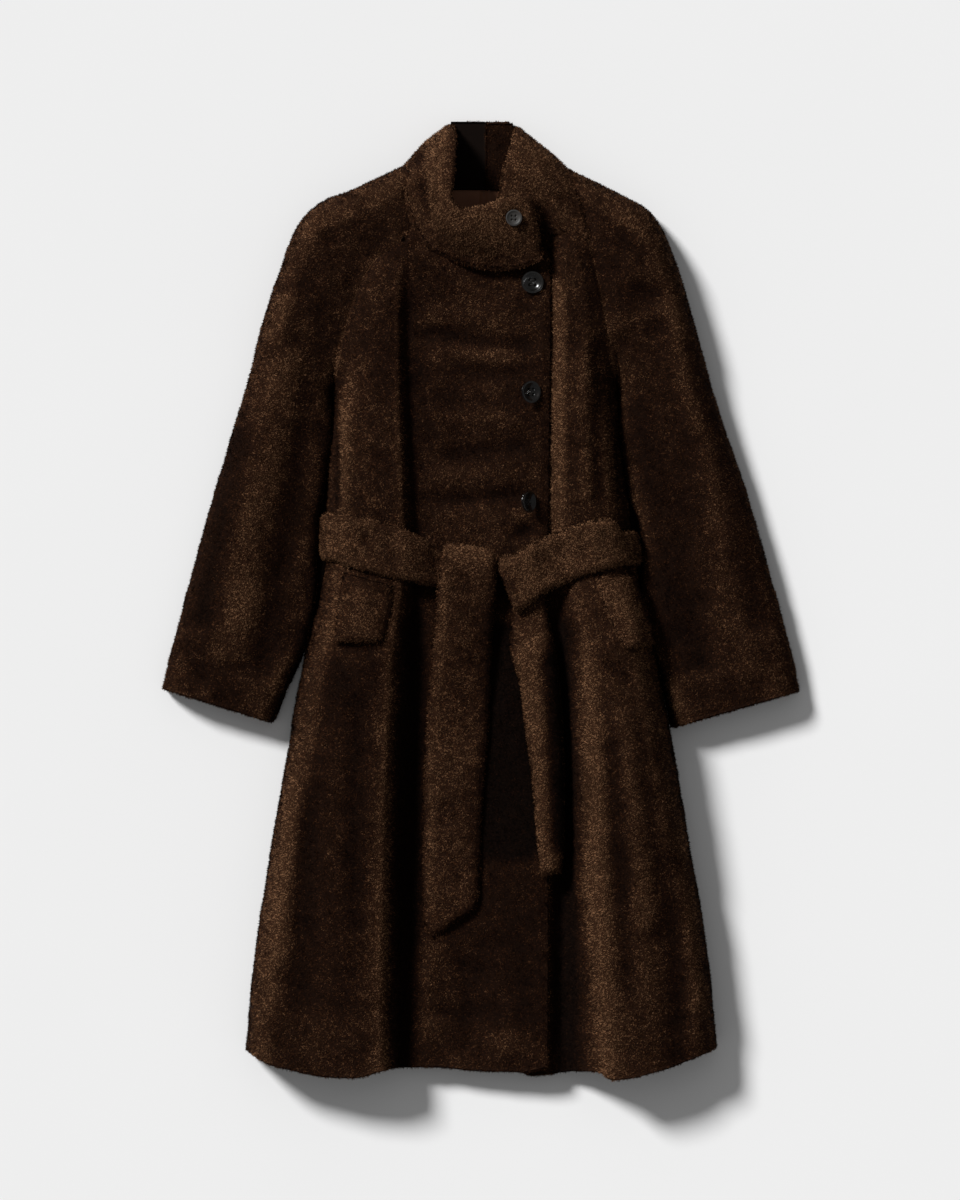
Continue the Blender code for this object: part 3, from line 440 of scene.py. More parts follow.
# ---------------------------------------------------------------- the body's form
def side_x(side, y):
    """x of the side line: side -1 is the wearer's right, 1 the left."""
    return curve(column(SIDE, 0), column(SIDE, 1 if side < 0 else 2), y)


def arm_open(y):
    """1 where the side is open into a sleeve, 0 where it is closed."""
    return smooth_step((y - UNDERARM) / ARM_OPEN)


def belt_lift(y):
    """Height of the back over the stretch of belt below it."""
    return (BELT_CLOTH + LAY) * within(y, *BELT_BAND)


def seam_height(y):
    """Height of the side seam."""
    return SIDE_MIDDLE + belt_lift(y)


def lines_at(sections, y):
    """x and height of each fold line at the heights y: two arrays with one more axis."""
    levels = column(sections, 0)
    count = len(sections[0][1])
    x = np.stack([curve(levels, [row[1][i] for row in sections], y) for i in range(count)], -1)
    z = np.stack([curve(levels, [row[2][i] for row in sections], y) for i in range(count)], -1)
    return x, z


def over_seam(side, x, y, height):
    """A front's height, brought down in a quarter ellipse to the side seam at its side
    line, and left as it is where the side is open into the sleeve."""
    opened = arm_open(y)
    inside = rounded(side * (side_x(side, y) - x) / SIDE_ROUND)
    return blend(seam_height(y) * (1 - opened), height, 1 - (1 - inside) * (1 - opened))


def right_height(x, y):
    """Height of the right front's face: its folds, rounded down to the side seam."""
    return over_seam(-1, x, y, across(*lines_at(RIGHT_SECTIONS, y), x))


OVERLAP_PAST = 4.0      # how far past the right front's edge the left one is free of it
OVERLAP_FADE = 7.0      # length before that place over which it comes up to its own height


def left_height(x, y):
    """Height of the left front's face; below the right front it follows that one."""
    lines, heights = lines_at(LEFT_SECTIONS, y)
    heights[..., 0] = heights[..., 1]
    own = over_seam(1, x, y, across(lines, heights, x))
    edge = lines[..., 1]
    below = np.minimum(own, right_height(np.minimum(x, edge), y) - OVERLAP_DROP)
    under = smooth_step((edge + OVERLAP_PAST - x) / OVERLAP_FADE)
    return np.where(x < edge, below, blend(own, below, under))


def top_height(x, y):
    """Height of whichever front lies on top."""
    edge = lines_at(RIGHT_SECTIONS, y)[0][..., -1]
    return np.where(x < edge, right_height(x, y), left_height(x, y))


# ---------------------------------------------------------------- the pieces' outer faces
TURN = np.radians([30.0, 60.0, 90.0])      # steps round the side, from the seam up
TURN_SHARE = 0.9                           # most that they take of the way to the next fold
FOOT = 4.0                                 # upright strip of cloth beside the side seam
STRIP = 0.07                               # width of that strip above the underarm, of the turn
FRONT_ROWS = (458, 436, 417, 385, 355, 333, 290, 268, 246, 190, 140, 110, 84, 58, 30, 0, -50, -110,
              -192, -270, -346, -430, -501, -555)
BACK_ROWS = (506, 480, 446, 400, 355, 320, 290, 268, 246, 190, 140, 125, 110, 84, 58, 30, 15, 0, -50,
             -110, -192, -270, -346, -430, -501, -548)
HEM_FROM = -430.0                          # rows below this bend to follow the hem
BACK_SEAM = (
    (246, -184, 169), (290, -176, 161), (320, -166, 151), (355, -150, 137), (400, -124, 112),
    (446, -88, 84), (480, -64, 62), (506, -50, 50),
)


def grid_of(x, y, z):
    """Grid of points from three arrays that broadcast to one shape."""
    x, y, z = np.broadcast_arrays(x, y, z)
    return np.stack([x, y, z], -1).astype(float)


def normals(grid):
    """Unit normals of a grid of points, from its row and column directions."""
    return unit(np.cross(np.gradient(grid, axis=0), np.gradient(grid, axis=1)))


def joined(side, outer, inner):
    """Two grids as one whose x rises: `outer` is listed from its side line inwards."""
    return np.concatenate([outer, inner] if side < 0 else [inner, outer[:, ::-1]], 1)


def side_columns(side, y, next_x, height):
    """Columns of a front from its side line inwards: an upright foot at the seam, then
    the turn, which ends short of the next fold line, at `next_x`."""
    opened = arm_open(y)
    edge = side_x(side, y) - side * SEAM / 2 * opened
    width = np.minimum(SIDE_ROUND, TURN_SHARE * np.abs(next_x - edge))
    turned = 1 - np.cos(TURN) + 0 * y[:, 2:]
    x = edge - side * width * np.hstack([0 * y[:, :1], STRIP * opened[:, 1:2], turned])
    z = height(x, y)
    z[:, 0] += LAY / 2 * (1 - opened[:, 0])
    z[:, 1] += FOOT * (1 - opened[:, 0])
    return grid_of(x, y, z)


def front_grid(side, sections, neck, hem, height):
    """Outer face of a front. Each column follows a fold line from the neck to the hem."""
    count = len(neck)
    at = np.arange(2, 2 * count - 1) / 2
    if side > 0:
        at = (count - 1) - at[::-1]
    rows = np.array(FRONT_ROWS, float)[:, None]

    def bent(neck_y, hem_x):
        """y of every row, bent so that its columns reach from the neck to the hem."""
        to_neck = neck_y - FRONT_ROWS[0]
        to_hem = np.interp(hem_x, *zip(*hem)) - FRONT_ROWS[-1]
        neck_share = np.clip((rows - UNDERARM) / (FRONT_ROWS[0] - UNDERARM), 0, 1)
        hem_share = np.clip((rows - HEM_FROM) / (FRONT_ROWS[-1] - HEM_FROM), 0, 1)
        return rows + to_neck * neck_share + to_hem * hem_share

    index = np.arange(count)
    y = bent(np.interp(at, index, neck), np.interp(at, index, sections[0][1]))
    lines, _ = lines_at(sections, y)
    low = np.clip(np.floor(at).astype(int), 0, count - 2)
    share = at - low
    columns = np.arange(len(at))
    x = lines[:, columns, low] * (1 - share) + lines[:, columns, low + 1] * share
    z = height(x, y)
    end = 0 if side < 0 else count - 1
    reach = SIDE_ROUND * np.hstack([0, 0, 1 - np.cos(TURN)])
    seam_y = bent(neck[end] + 0 * reach, sections[0][1][end] - side * reach)
    next_x = x[:, :1] if side < 0 else x[:, -1:]
    return joined(side, side_columns(side, seam_y, next_x, height), grid_of(x, y, z))


def back_side_x(side, y):
    """x of the back's side line: above the underarm it is the back raglan seam."""
    seam = curve(column(BACK_SEAM, 0), column(BACK_SEAM, 1 if side < 0 else 2), y)
    return np.where(y > UNDERARM, seam, side_x(side, y))


def back_height(x, y):
    """Height of the back's lower face: flat, lifted over the belt and turned up at the
    sides."""
    inside = rounded(np.minimum(back_side_x(1, y) - x, x - back_side_x(-1, y)) / BACK_ROUND)
    lift = belt_lift(y)
    return lift + (seam_height(y) - lift) * (1 - inside) * (1 - arm_open(y))


BACK_MIDDLE = np.linspace(0, 1, 6)[1:-1]    # the back's columns between its two sides
# y where the back reaches below the sleeves: from, fade, to, fade
BACK_COVERS = (-62.0, 30.0, UNDERARM + 10.0, 40.0)


def back_grid():
    """Outer, lower face of the back, its columns spread evenly between the two sides."""
    rows = np.array(BACK_ROWS, float)[:, None]
    opened = arm_open(rows)
    cover = BACK_COVER * within(rows, *BACK_COVERS)
    inward = BACK_ROUND * np.hstack([0 * rows, STRIP * opened, 1 - np.cos(TURN) + 0 * rows])
    right, left = (back_side_x(side, rows) - side * SEAM / 2 * opened + side * cover - side * inward
                   for side in (-1, 1))
    x = np.hstack([right, blend(right[:, -1:], left[:, -1:], BACK_MIDDLE), left[:, ::-1]])
    hem = np.interp(x, *zip(*(RIGHT_HEM + LEFT_HEM[3:]))) + BACK_HEM_RISE
    share = np.clip((rows - HEM_FROM) / (BACK_ROWS[-1] - HEM_FROM), 0, 1)
    y = rows + (hem - BACK_ROWS[-1]) * share
    z = back_height(x, y)
    closed = 1 - opened[:, 0]
    for first, second in ((0, 1), (-1, -2)):
        z[:, first] -= LAY / 2 * closed
        z[:, second] -= FOOT * closed
    return grid_of(x, y, z)[:, ::-1]


SLEEVE_TURN = np.radians([0.0, 30.0, 60.0, 90.0])
# Roundings of a sleeve's section at the body, at the outer fold and below: length, and
# the most of the section that it takes
SLEEVE_ROUNDS = ((20.0, 0.25), (34.0, 0.4), (BACK_ROUND, 0.2))
SLEEVE_MIDDLE = np.array([0.3, 0.55, 0.8])  # columns between the first two of them
CROWN_AT = 0.55         # share of the way over the top at which the sleeve is highest
SLEEVE_GAP = 0.8        # in plan, between the sleeve's seam end and the body's side line
BACK_SEAM_ROWS = (504, 472, 436, 400, 370, 333, 290)    # y of the sleeve sections' back ends


def sleeve_grid(side, table):
    """Outer face of a sleeve, one row a section: from the seam over the top to the outer
    fold, and back below. Above the underarm it is open to the body."""
    seam_x, seam_y, fold_x, fold_y, crown, fold_z, bend = np.array(table, float).T[:, :, None]
    opened = arm_open(seam_y)
    closed = 1 - opened
    seam_x = np.where(seam_y < UNDERARM, seam_x, side_x(side, seam_y) + side * SLEEVE_GAP)
    length = np.hypot(fold_x - seam_x, fold_y - seam_y)
    inner, outer, lower = (np.minimum(reach / length, most) for reach, most in SLEEVE_ROUNDS)
    steps = 1 - np.cos(SLEEVE_TURN)
    share = np.hstack([inner * steps, inner + (1 - outer - inner) * SLEEVE_MIDDLE,
                       1 - outer * steps[::-1]])
    height = right_height if side < 0 else left_height
    beside = crown * np.where(seam_y < FREE_CUFF, FREE_DIP, SLEEVE_DIP)
    start = height(side_x(side, seam_y), seam_y) * opened + beside * closed
    foot = fold_z * closed
    top = blend(start, crown, smooth_step(share / CROWN_AT))
    top = blend(foot, top, 1 - closed * (1 - rounded(share / inner)))
    top_z = blend(fold_z, top, rounded((1 - share) / outer))
    across_x, across_y = -(fold_y - seam_y) / length, (fold_x - seam_x) / length
    bow = bend * np.sin(np.pi * share) * np.sign(across_x)
    top_x = blend(seam_x, fold_x, share) + across_x * bow
    top_y = blend(seam_y, fold_y, share) + across_y * bow

    under = np.hstack([1 - lower * steps[1:], 0.5 + 0 * length, lower * steps[:0:-1], 0 * length])
    count = len(BACK_SEAM_ROWS)
    back_x, back_y = seam_x.copy(), seam_y.copy()
    back_y[:count, 0] = BACK_SEAM_ROWS
    back_x[:count] = back_side_x(side, back_y[:count]) + side * SEAM / 2
    under_z = fold_z * (1 - rounded((1 - under) / lower)) + foot * (1 - rounded(under / lower))
    below = grid_of(blend(back_x, fold_x, under), blend(back_y, fold_y, under), under_z)
    grid = np.concatenate([grid_of(top_x, top_y, top_z), below], 1)
    return grid if side > 0 else grid[:, ::-1]


UPRIGHT_AT = -88.0          # x of the neck seam where the collar stands up, on the right
UPRIGHT_REACH = 26.0        # how far round that place it does so too
UPRIGHT_ABOVE = 20.0        # least height of the neck seam where it does
EVEN_RISE = 1.15            # the even rise is done 1 / EVEN_RISE of the way up the collar
STEEP_RISE = (0.28, 0.42)   # share of the way up where the steep rise starts, and its length


def collar_grid():
    """Outer face of the collar: rows from its free edge to the neck seam. Up from the
    seam it first lies flat, then rises in an S to the free edge, steeply on the right."""
    stations = np.array(COLLAR, float)[::-1]
    seam, edge, bulge = stations[:, :3], stations[:, 3:6], stations[:, 6]
    stands = np.exp(-((seam[:, 0] - UPRIGHT_AT) / UPRIGHT_REACH) ** 2) * (seam[:, 2] > UPRIGHT_ABOVE)
    share = np.linspace(1, 0, COLLAR_STEPS)[:, None, None]
    up = share[..., 0]
    rise = blend(smooth_step(up * EVEN_RISE), smooth_step((up - STEEP_RISE[0]) / STEEP_RISE[1]), stands)
    grid = blend(seam, edge, share)
    grid[..., 2] = blend(seam[:, 2], edge[:, 2], rise)
    return grid + normals(grid) * (bulge[:, None] * np.sin(np.pi * share))


STRETCH_ROWS = np.linspace(0.5, -0.5, 5)[:, None]   # shares of the belt's width, from the top
SIDE_LAY = np.array([0, 0, 0.6, 1, 1, 1, 1])        # share of its lay round the side, from below
TAUT_SPAN = 80.0        # widest hollow that the belt lies over without dipping in


def bridged(grid, span):
    """Heights of a grid that is taut along its columns: each point is at least on the
    straight line between any two points of its row that are up to `span` apart."""
    steps = np.linalg.norm(np.diff(grid[..., :2].mean(0), axis=0), axis=1)
    place = np.concatenate([[0], np.cumsum(steps)])
    first, last, here = place[:, None, None], place[None, :, None], place[None, None, :]
    held = (first < here) & (here < last) & (last - first <= span)
    share = (here - first) / np.where(held, last - first, 1)
    height = grid[..., 2]
    line = height[:, :, None, None] * (1 - share) + height[:, None, :, None] * share
    return np.maximum(height, np.where(held, line, -np.inf).max((1, 2)))


RIGHT_BELT_COLUMNS = (-160, -146, -133, -120, -108, -98, -88, -76, -58, -40, -20)
LEFT_BELT_COLUMNS = (20, 24, 28, 32, 36, 40, 43, 50, 58, 66, 74, 88, 97, 104, 112, 124, 138, 150, 158)


def stretch_grid(side, table, columns):
    """Outer face of a stretch of belt: from below the back, round the side and over the
    front to the knot."""
    x = np.array(columns, float)[None, :]
    middle, width, lift = (curve(column(table, 0), column(table, k), x) for k in (1, 2, 3))
    y = middle + STRETCH_ROWS * width
    top = grid_of(x, y, top_height(x + 0 * y, y))
    top[..., 2] = bridged(top, TAUT_SPAN)
    end = table[0] if side < 0 else table[-1]
    side_y = end[1] + STRETCH_ROWS * end[2]
    edge = side_x(side, side_y)
    height = right_height if side < 0 else left_height
    up_x = edge - side * SIDE_ROUND * (1 - np.cos(TURN[:2]))
    up = grid_of(up_x, side_y, height(up_x, side_y + 0 * up_x))
    seam = grid_of(edge, side_y, seam_height(side_y))
    down_x = edge - side * np.hstack([BELT_TURN_UNDER, BACK_ROUND * (1 - np.cos(TURN[::-1]))])
    down = grid_of(down_x, side_y, back_height(down_x, side_y + 0 * down_x))
    grid = joined(side, np.concatenate([down, seam, up], 1), top)
    top_lay = BELT_LAY - LAY
    lift = joined(side, top_lay * SIDE_LAY + 0 * STRETCH_ROWS, lift + 0 * y + top_lay)
    return grid + normals(grid) * (LAY + BELT_CLOTH + lift)[..., None]


def belt_back_grid():
    """Outer, lower face of the stretch below the back."""
    right_end, left_end = BELT_RIGHT[0], BELT_LEFT[-1]
    gap = BELT_TURN_UNDER + BACK_BELT_GAP
    x = np.linspace(left_end[0] - gap, right_end[0] + gap, 7)[None, :]
    share = (x - right_end[0]) / (left_end[0] - right_end[0])
    middle, width = (blend(right_end[k], left_end[k], share) for k in (1, 2))
    return grid_of(x, middle + STRETCH_ROWS * width, 0.0)


RIM_TO_RIM = np.linspace(0, 1, 5)[None, :]      # columns of a tail or a welt, left to right


def tail_grid(table):
    """Outer face of a hanging belt end, rows from the knot down, crowned between its
    rims; its heights are above the right front, carried on past its edge."""
    left_x, left_y, right_x, right_y, left_z, middle_z, right_z = np.array(table, float).T[:, :, None]
    x = blend(left_x, right_x, RIM_TO_RIM)
    y = blend(left_y, right_y, RIM_TO_RIM)
    edge = lines_at(RIGHT_SECTIONS, y)[0][..., -1]
    crown = 4 * RIM_TO_RIM * (1 - RIM_TO_RIM)
    lift = blend(left_z, right_z, RIM_TO_RIM) + (middle_z - (left_z + right_z) / 2) * crown
    return grid_of(x, y, right_height(np.minimum(x, edge), y) + lift)


def welt_grid(table):
    """Outer face of a pocket welt, laid on the front's face and lifted at one rim."""
    ends = np.array(table, float).T[:, :, None]
    x, y, lift = (blend(ends[k], ends[k + 1], RIM_TO_RIM) for k in (0, 2, 4))
    grid = grid_of(x, y, top_height(x, y))
    return grid + normals(grid) * (lift + LAY + WELT_CLOTH)[..., None]


# ---------------------------------------------------------------- fine cloth
def spread(grid, axis, step):
    """The grid with its points along one axis set about `step` mm apart, on a smooth
    monotone curve through the given ones, by their mean distance along it."""
    grid = np.moveaxis(grid, axis, -1)
    gaps = np.linalg.norm(np.diff(grid, axis=-1), axis=-2).mean(0)
    along = np.concatenate([[0.0], np.cumsum(np.maximum(gaps, 1e-3))])
    m = slopes(along, grid)
    at = np.linspace(0, along[-1], int(np.ceil(along[-1] / step)) + 1)
    i = np.clip(np.searchsorted(along, at, "right") - 1, 0, len(along) - 2)
    h = along[i + 1] - along[i]
    fine = hermite((at - along[i]) / h, h, grid[..., i], grid[..., i + 1], m[..., i], m[..., i + 1])
    return np.moveaxis(fine, -1, axis)


def blurred(field, reach):
    """A field on a grid, averaged over `reach` points to each side along both axes with
    a raised cosine, its border values carried on outwards."""
    weights = 1 + np.cos(np.pi * np.arange(-reach, reach + 1) / (reach + 1))
    weights /= weights.sum()
    for axis in (0, 1):
        pads = [(0, 0)] * field.ndim
        pads[axis] = (reach, reach)
        wide = np.pad(field, pads, "edge")
        size = field.shape[axis]
        field = sum(w * np.take(wide, range(i, i + size), axis) for i, w in enumerate(weights))
    return field


STEADY_REACH = 4        # points to each side over which crossing columns are averaged
TURNED_OVER = 0.5       # cosine to the averaged normal below which a normal is dropped


def steady_normals(face):
    """Unit normals of a fine grid; where a crossing of close columns turns one over, it
    takes the direction of the averaged grid."""
    out = normals(face)
    even = normals(blurred(face, STEADY_REACH))
    return np.where(np.sum(out * even, -1, keepdims=True) < TURNED_OVER, even, out)


def tucked(grid):
    """The grid with one more row before its first: the seam allowance, which goes on
    below the collar by NECK_TUCK and falls by its share of the height."""
    on = grid[0] - grid[1]
    on[:, 2] = 0
    row = grid[0] + unit(on) * NECK_TUCK
    row[:, 2] = grid[0, :, 2] * (1 - NECK_TUCK_FALL)
    return np.concatenate([row[None], grid])


def side_tucked(grid, side):
    """The grid with one more column at one side: above the underarm it is the seam
    allowance, which goes on below the neighbour by SIDE_TUCK and falls by its share of
    the height; below the underarm it ends after BARE_TUCK."""
    edge = grid[:, 0] if side < 0 else grid[:, -1]
    run = unit(np.gradient(edge[:, :2], axis=0))
    outward = np.stack([run[:, 1], -run[:, 0]], -1)
    outward *= np.sign(outward[:, :1] * side)
    opened = arm_open(edge[:, 1])
    allowance = edge.copy()
    allowance[:, :2] += outward * (BARE_TUCK + SIDE_TUCK * opened)[:, None]
    allowance[:, 2] *= 1 - SIDE_TUCK_FALL * opened
    return joined(side, allowance[:, None], grid)


LEAN = 10.0             # how far a sleeve leans over towards the body
LEANS = (-95.0, 50.0, UNDERARM + 10.0, 50.0)    # y where it does: from, fade, to, fade
LEAN_RISE = (12.0, 18.0)    # height over the floor from which it leans, and the fade
LEAN_REACH = 50.0       # how far from the seam the lean dies out
BELT_SIDE = (70.0, 40.0)    # y of the belt's side, where the lean is halved, and its reach


def leaning(face, side, table):
    """A sleeve's face with its upper inside leaning over towards the body, by the full
    LEAN at half its height, less over the belt, and none where it lies free."""
    x, y, z = np.moveaxis(face, -1, 0)
    seam_x = curve(column(table, 1)[::-1], column(table, 0)[::-1], y)
    by_belt = np.exp(-((y - BELT_SIDE[0]) / BELT_SIDE[1]) ** 4)
    shift = LEAN * (1 - 0.5 * by_belt) * within(y, *LEANS)
    shift *= smooth_step((z - LEAN_RISE[0]) / LEAN_RISE[1])
    moved = face.copy()
    moved[..., 0] -= side * shift * (1 - smooth_step(np.abs(x - seam_x) / LEAN_REACH))
    return moved


CREASE_FADE = 25.0      # length over which a crease fades out at both of its ends


def pressed(points, creases):
    """Height of the creases at the points, in plan: a bell across each crease, faded
    out at both of its ends."""
    total = np.zeros(points.shape[:-1])
    for half, height, line in creases:
        line = np.array(line, float)
        steps = np.linalg.norm(np.diff(line, axis=0), axis=1)
        before = np.concatenate([[0.0], np.cumsum(steps)])
        best = np.full(total.shape, 1e9)
        place = np.zeros(total.shape)
        for a, b, step, start in zip(line, line[1:], steps, before):
            share = np.clip(((points[..., :2] - a) @ (b - a)) / step ** 2, 0, 1)
            away = np.linalg.norm(points[..., :2] - (a + share[..., None] * (b - a)), axis=-1)
            place = np.where(away < best, start + share * step, place)
            best = np.minimum(best, away)
        fade = within(place, 0, CREASE_FADE, before[-1], CREASE_FADE)
        total += height * np.exp(-(best / half) ** 2) * fade
    return total


# The cloth's broad slack, its wrinkles and its curls: height, size, seed
UNEVENNESS = ((1.2, 70, 1), (0.9, 24, 2), (0.6, 9, 3))
CREASE_LOOKS_UP = 1.5       # a crease has this share of the normal's upward part, up to 1
STRAIGHT_UP = np.array([0.0, 0.0, 1.0])
LOOKS_UP = (0.3, 0.4)       # upward part from which a face moves straight up, and its fade


def softened(grid, creases=()):
    """The outer face with its creases and its unevenness, which is one field for the
    whole coat, so that seams stay closed. Faces that look up move straight up, so that
    closely set columns never cross."""
    out = normals(grid)
    height = pressed(grid, creases) * np.clip(out[..., 2] * CREASE_LOOKS_UP, 0, 1)
    height += uneven(grid, UNEVENNESS)
    upright = smooth_step((out[..., 2:] - LOOKS_UP[0]) / LOOKS_UP[1])
    moved = grid + blend(out, STRAIGHT_UP, upright) * height[..., None]
    moved[..., 2] = np.maximum(moved[..., 2], LOWEST)
    return moved


RELIEF_REACH = 30.0     # how far round a point its relief is judged
RELIEF_HEIGHT = 9.0     # relief from the darkest painted shade in a valley to the lightest painted highlight on a crest
BRUSHED = ((0.10, 55, 4), (0.08, 18, 5))    # patches of brushed nap: tone, size, seed


def painted_shade_and_brushing(face, step):
    """Painted shade and light from the relief: from 0, painted shade in a valley, to 1, a painted
    highlight on a crest, by the height over the cloth round it; and broad patches of brushed nap."""
    height = face[..., 2]
    over = height - blurred(height, int(RELIEF_REACH / step))
    return np.clip(np.clip(0.5 + over / RELIEF_HEIGHT, 0, 1) + uneven(face, BRUSHED), 0, 1)


def placed(name, data):
    """Object of a mesh, a light or a camera, put into the scene."""
    made = bpy.data.objects.new(name, data)
    bpy.context.scene.collection.objects.link(made)
    return made


def mesh_object(name, points, faces, finish, uv=None, outward=None):
    """Object of the given points in millimetres and faces of one size, shaded smooth.
    `uv` is the nap of each point, and `outward` the direction its shading takes."""
    mesh = bpy.data.meshes.new(name)
    points = np.ascontiguousarray(points, dtype=np.float32).reshape(-1, 3) * MM
    faces = np.ascontiguousarray(faces, dtype=np.int32)
    corners = faces.shape[1]
    mesh.vertices.add(len(points))
    mesh.vertices.foreach_set("co", points.ravel())
    mesh.loops.add(faces.size)
    mesh.loops.foreach_set("vertex_index", faces.ravel())
    mesh.polygons.add(len(faces))
    mesh.polygons.foreach_set("loop_start", np.arange(0, faces.size, corners, dtype=np.int32))
    mesh.polygons.foreach_set("use_smooth", np.ones(len(faces), dtype=bool))
    mesh.materials.append(finish)
    if uv is not None:
        layer = mesh.uv_layers.new(name="nap")
        layer.data.foreach_set("uv", np.ascontiguousarray(uv, dtype=np.float32)[faces.ravel()].ravel())
    mesh.update(calc_edges=True)
    mesh.validate()
    if outward is not None:
        mesh.normals_split_custom_set_from_vertices(np.ascontiguousarray(outward, dtype=np.float32))
    return placed(name, mesh)


RIM_ARC = np.radians([-60.0, -30.0, 0.0, 30.0, 60.0])   # rounding of a cut edge, in to out


def closed_cloth(name, face, thickness, nap, bulges, finish):
    """Closed cloth: the outer face, an inner face `thickness` in from it along the
    normals, and a half-round rim that stands a bulge past the edge. `bulges` are the
    ones of the first row, the last column, the last row and the first column. Gives the
    object and the shell that carries pile: points, directions, nap and quads."""
    rows, columns = face.shape[:2]
    out = steady_normals(face)
    inner = face - out * np.broadcast_to(thickness, (rows, columns))[..., None]
    inner[..., 2] = np.maximum(inner[..., 2], LOWEST)
    index = np.arange(rows * columns).reshape(rows, columns)
    quads = np.stack([index[:-1, :-1], index[1:, :-1], index[1:, 1:], index[:-1, 1:]], -1).reshape(-1, 4)
    sides = (index[0, :-1], index[:-1, -1], index[-1, :0:-1], index[:0:-1, 0])
    ring = np.concatenate(sides)
    beside = np.concatenate([index[1, :-1], index[:-1, -2], index[-2, :0:-1], index[:0:-1, 1]])
    bulge = np.repeat(bulges, [len(side) for side in sides])[:, None]
    flat_face, flat_inner, flat_out = face.reshape(-1, 3), inner.reshape(-1, 3), out.reshape(-1, 3)
    away = unit(flat_face[ring] - flat_face[beside])
    middle = (flat_face[ring] + flat_inner[ring]) / 2
    half = (flat_face[ring] - flat_inner[ring]) / 2
    rim = np.concatenate([middle + half * math.sin(a) + away * bulge * math.cos(a) for a in RIM_ARC])
    rim_out = np.concatenate([flat_out[ring] * math.sin(a) + away * math.cos(a) for a in RIM_ARC])
    rim[:, 2] = np.maximum(rim[:, 2], LOWEST)
    count = rows * columns
    turn = np.arange(len(ring))
    levels = [ring + count] + [2 * count + len(ring) * i + turn for i in range(len(RIM_ARC))] + [ring]
    bands = [np.stack([low, np.roll(low, -1), np.roll(high, -1), high], -1)
             for low, high in zip(levels, levels[1:])]
    points = np.concatenate([flat_face, flat_inner, rim])
    directions = np.concatenate([flat_out, -flat_out, rim_out])
    flat_nap = nap.reshape(-1)
    all_nap = np.concatenate([flat_nap, 0 * flat_nap, np.tile(flat_nap[ring], len(RIM_ARC))])
    cloth = mesh_object(name, points, np.concatenate([quads, quads[:, ::-1] + count] + bands),
                        finish, np.stack([all_nap, 0 * all_nap], -1))
    return cloth, (points, directions, all_nap, np.concatenate([quads] + bands[1:]))


# ---------------------------------------------------------------- pile
PILE_LENGTH = 3.2
BLADE_CURL = (1.1, 4.5)     # direction that a curl's blades share: strength, size in mm
BLADE_SWEEP = (0.4, 60)     # the same for the broad sweep of the nap
BLADE_OWN = 0.6             # strength of a blade's own direction
BLADE_HANG = np.array([0.0, -0.25, 0.0])    # the nap runs a little towards the hem
BLADE_TILT = (35, 75)       # degrees from upright
BLADE_REACH = (0.6, 1.15)   # shares of the pile's length
BLADE_HALF = (0.45, 0.7)    # half width at the foot
BLADE_ROOT = 0.6            # how deep the foot sits in the cloth
GRAIN = 0.22                # change of tone from curl to curl, and from blade to blade
GRAIN_CURL = 3.6            # size of those curls
OWN_LEAN = 0.35             # how far a blade's shading turns to its own lean
OWN_STRAY = 0.16            # how far it strays at its tip


def pile(name, shell, count, seed):
    """Short wool blades on a shell, none where a button lies. Each is one tapered
    triangle, 0.9 to 1.4 mm wide at its foot, whose tip lies about PILE_LENGTH away along
    the outward direction tilted towards a direction that neighbours share, so that they
    form curls. Their shading follows the cloth below, turned a little to their own lean."""
    rng = np.random.default_rng(seed)
    points, directions, nap, quads = shell
    a, b, c, d = (points[quads[:, k]] for k in range(4))
    size = np.linalg.norm(np.cross(c - a, d - b), axis=-1)
    share = np.cumsum(size) / size.sum()
    cell = quads[np.clip(np.searchsorted(share, rng.uniform(0, 1, count)), 0, len(size) - 1)]
    u, v = rng.uniform(0, 1, (2, count, 1))
    weights = np.stack([(1 - u) * (1 - v), u * (1 - v), u * v, (1 - u) * v], 1)
    point = np.sum(points[cell] * weights, 1)
    kept = np.ones(count, bool)
    for _, x, y, radius, lean, _ in BUTTONS:
        kept &= np.hypot((point[:, 0] - x) / math.cos(math.radians(lean)), point[:, 1] - y) > radius
    point, cell, weights, count = point[kept], cell[kept], weights[kept], int(kept.sum())
    out = unit(np.sum(directions[cell] * weights, 1))
    # The cloth's tone below, with its painted shade and highlight, carried onto the blades.
    shade_and_tone_here = np.sum(nap[cell] * weights[..., 0], 1)[:, None]
    curl = np.stack([soft_noise(point, BLADE_CURL[1], seed + k) for k in (3, 4, 5)], -1)
    sweep = np.stack([soft_noise(point, BLADE_SWEEP[1], k) for k in (6, 7, 8)], -1)
    own = rng.normal(0, BLADE_OWN, (count, 3))
    lean = BLADE_CURL[0] * curl + BLADE_SWEEP[0] * sweep + own + BLADE_HANG
    lean = unit(lean - out * np.sum(lean * out, -1, keepdims=True))
    tilt = np.radians(rng.uniform(*BLADE_TILT, (count, 1)))
    reach = PILE_LENGTH * rng.uniform(*BLADE_REACH, (count, 1))
    tip = point + reach * (out * np.cos(tilt) + lean * np.sin(tilt))
    wide = np.cross(out, lean) * rng.uniform(*BLADE_HALF, (count, 1))
    foot = point - out * BLADE_ROOT
    corners = np.stack([foot + wide, foot - wide, tip], 1)
    corners[..., 2] = np.maximum(corners[..., 2], LOWEST)
    clump = soft_noise(point, GRAIN_CURL, 9)[:, None]
    tone = np.clip(shade_and_tone_here + GRAIN * clump + GRAIN * rng.uniform(-1, 1, (count, 1)), 0, 1)
    uv = np.stack([np.repeat(tone, 3, 1), np.tile([0.0, 0.0, 1.0], (count, 1))], -1)
    stray = rng.normal(0, OWN_STRAY, (count, 3))
    shading = unit(np.stack([out, out, out + OWN_LEAN * lean + stray], 1))
    return mesh_object(name, corners, np.arange(3 * count).reshape(-1, 3), PILE_BLADES, uv.reshape(-1, 2),
                       shading.reshape(-1, 3))


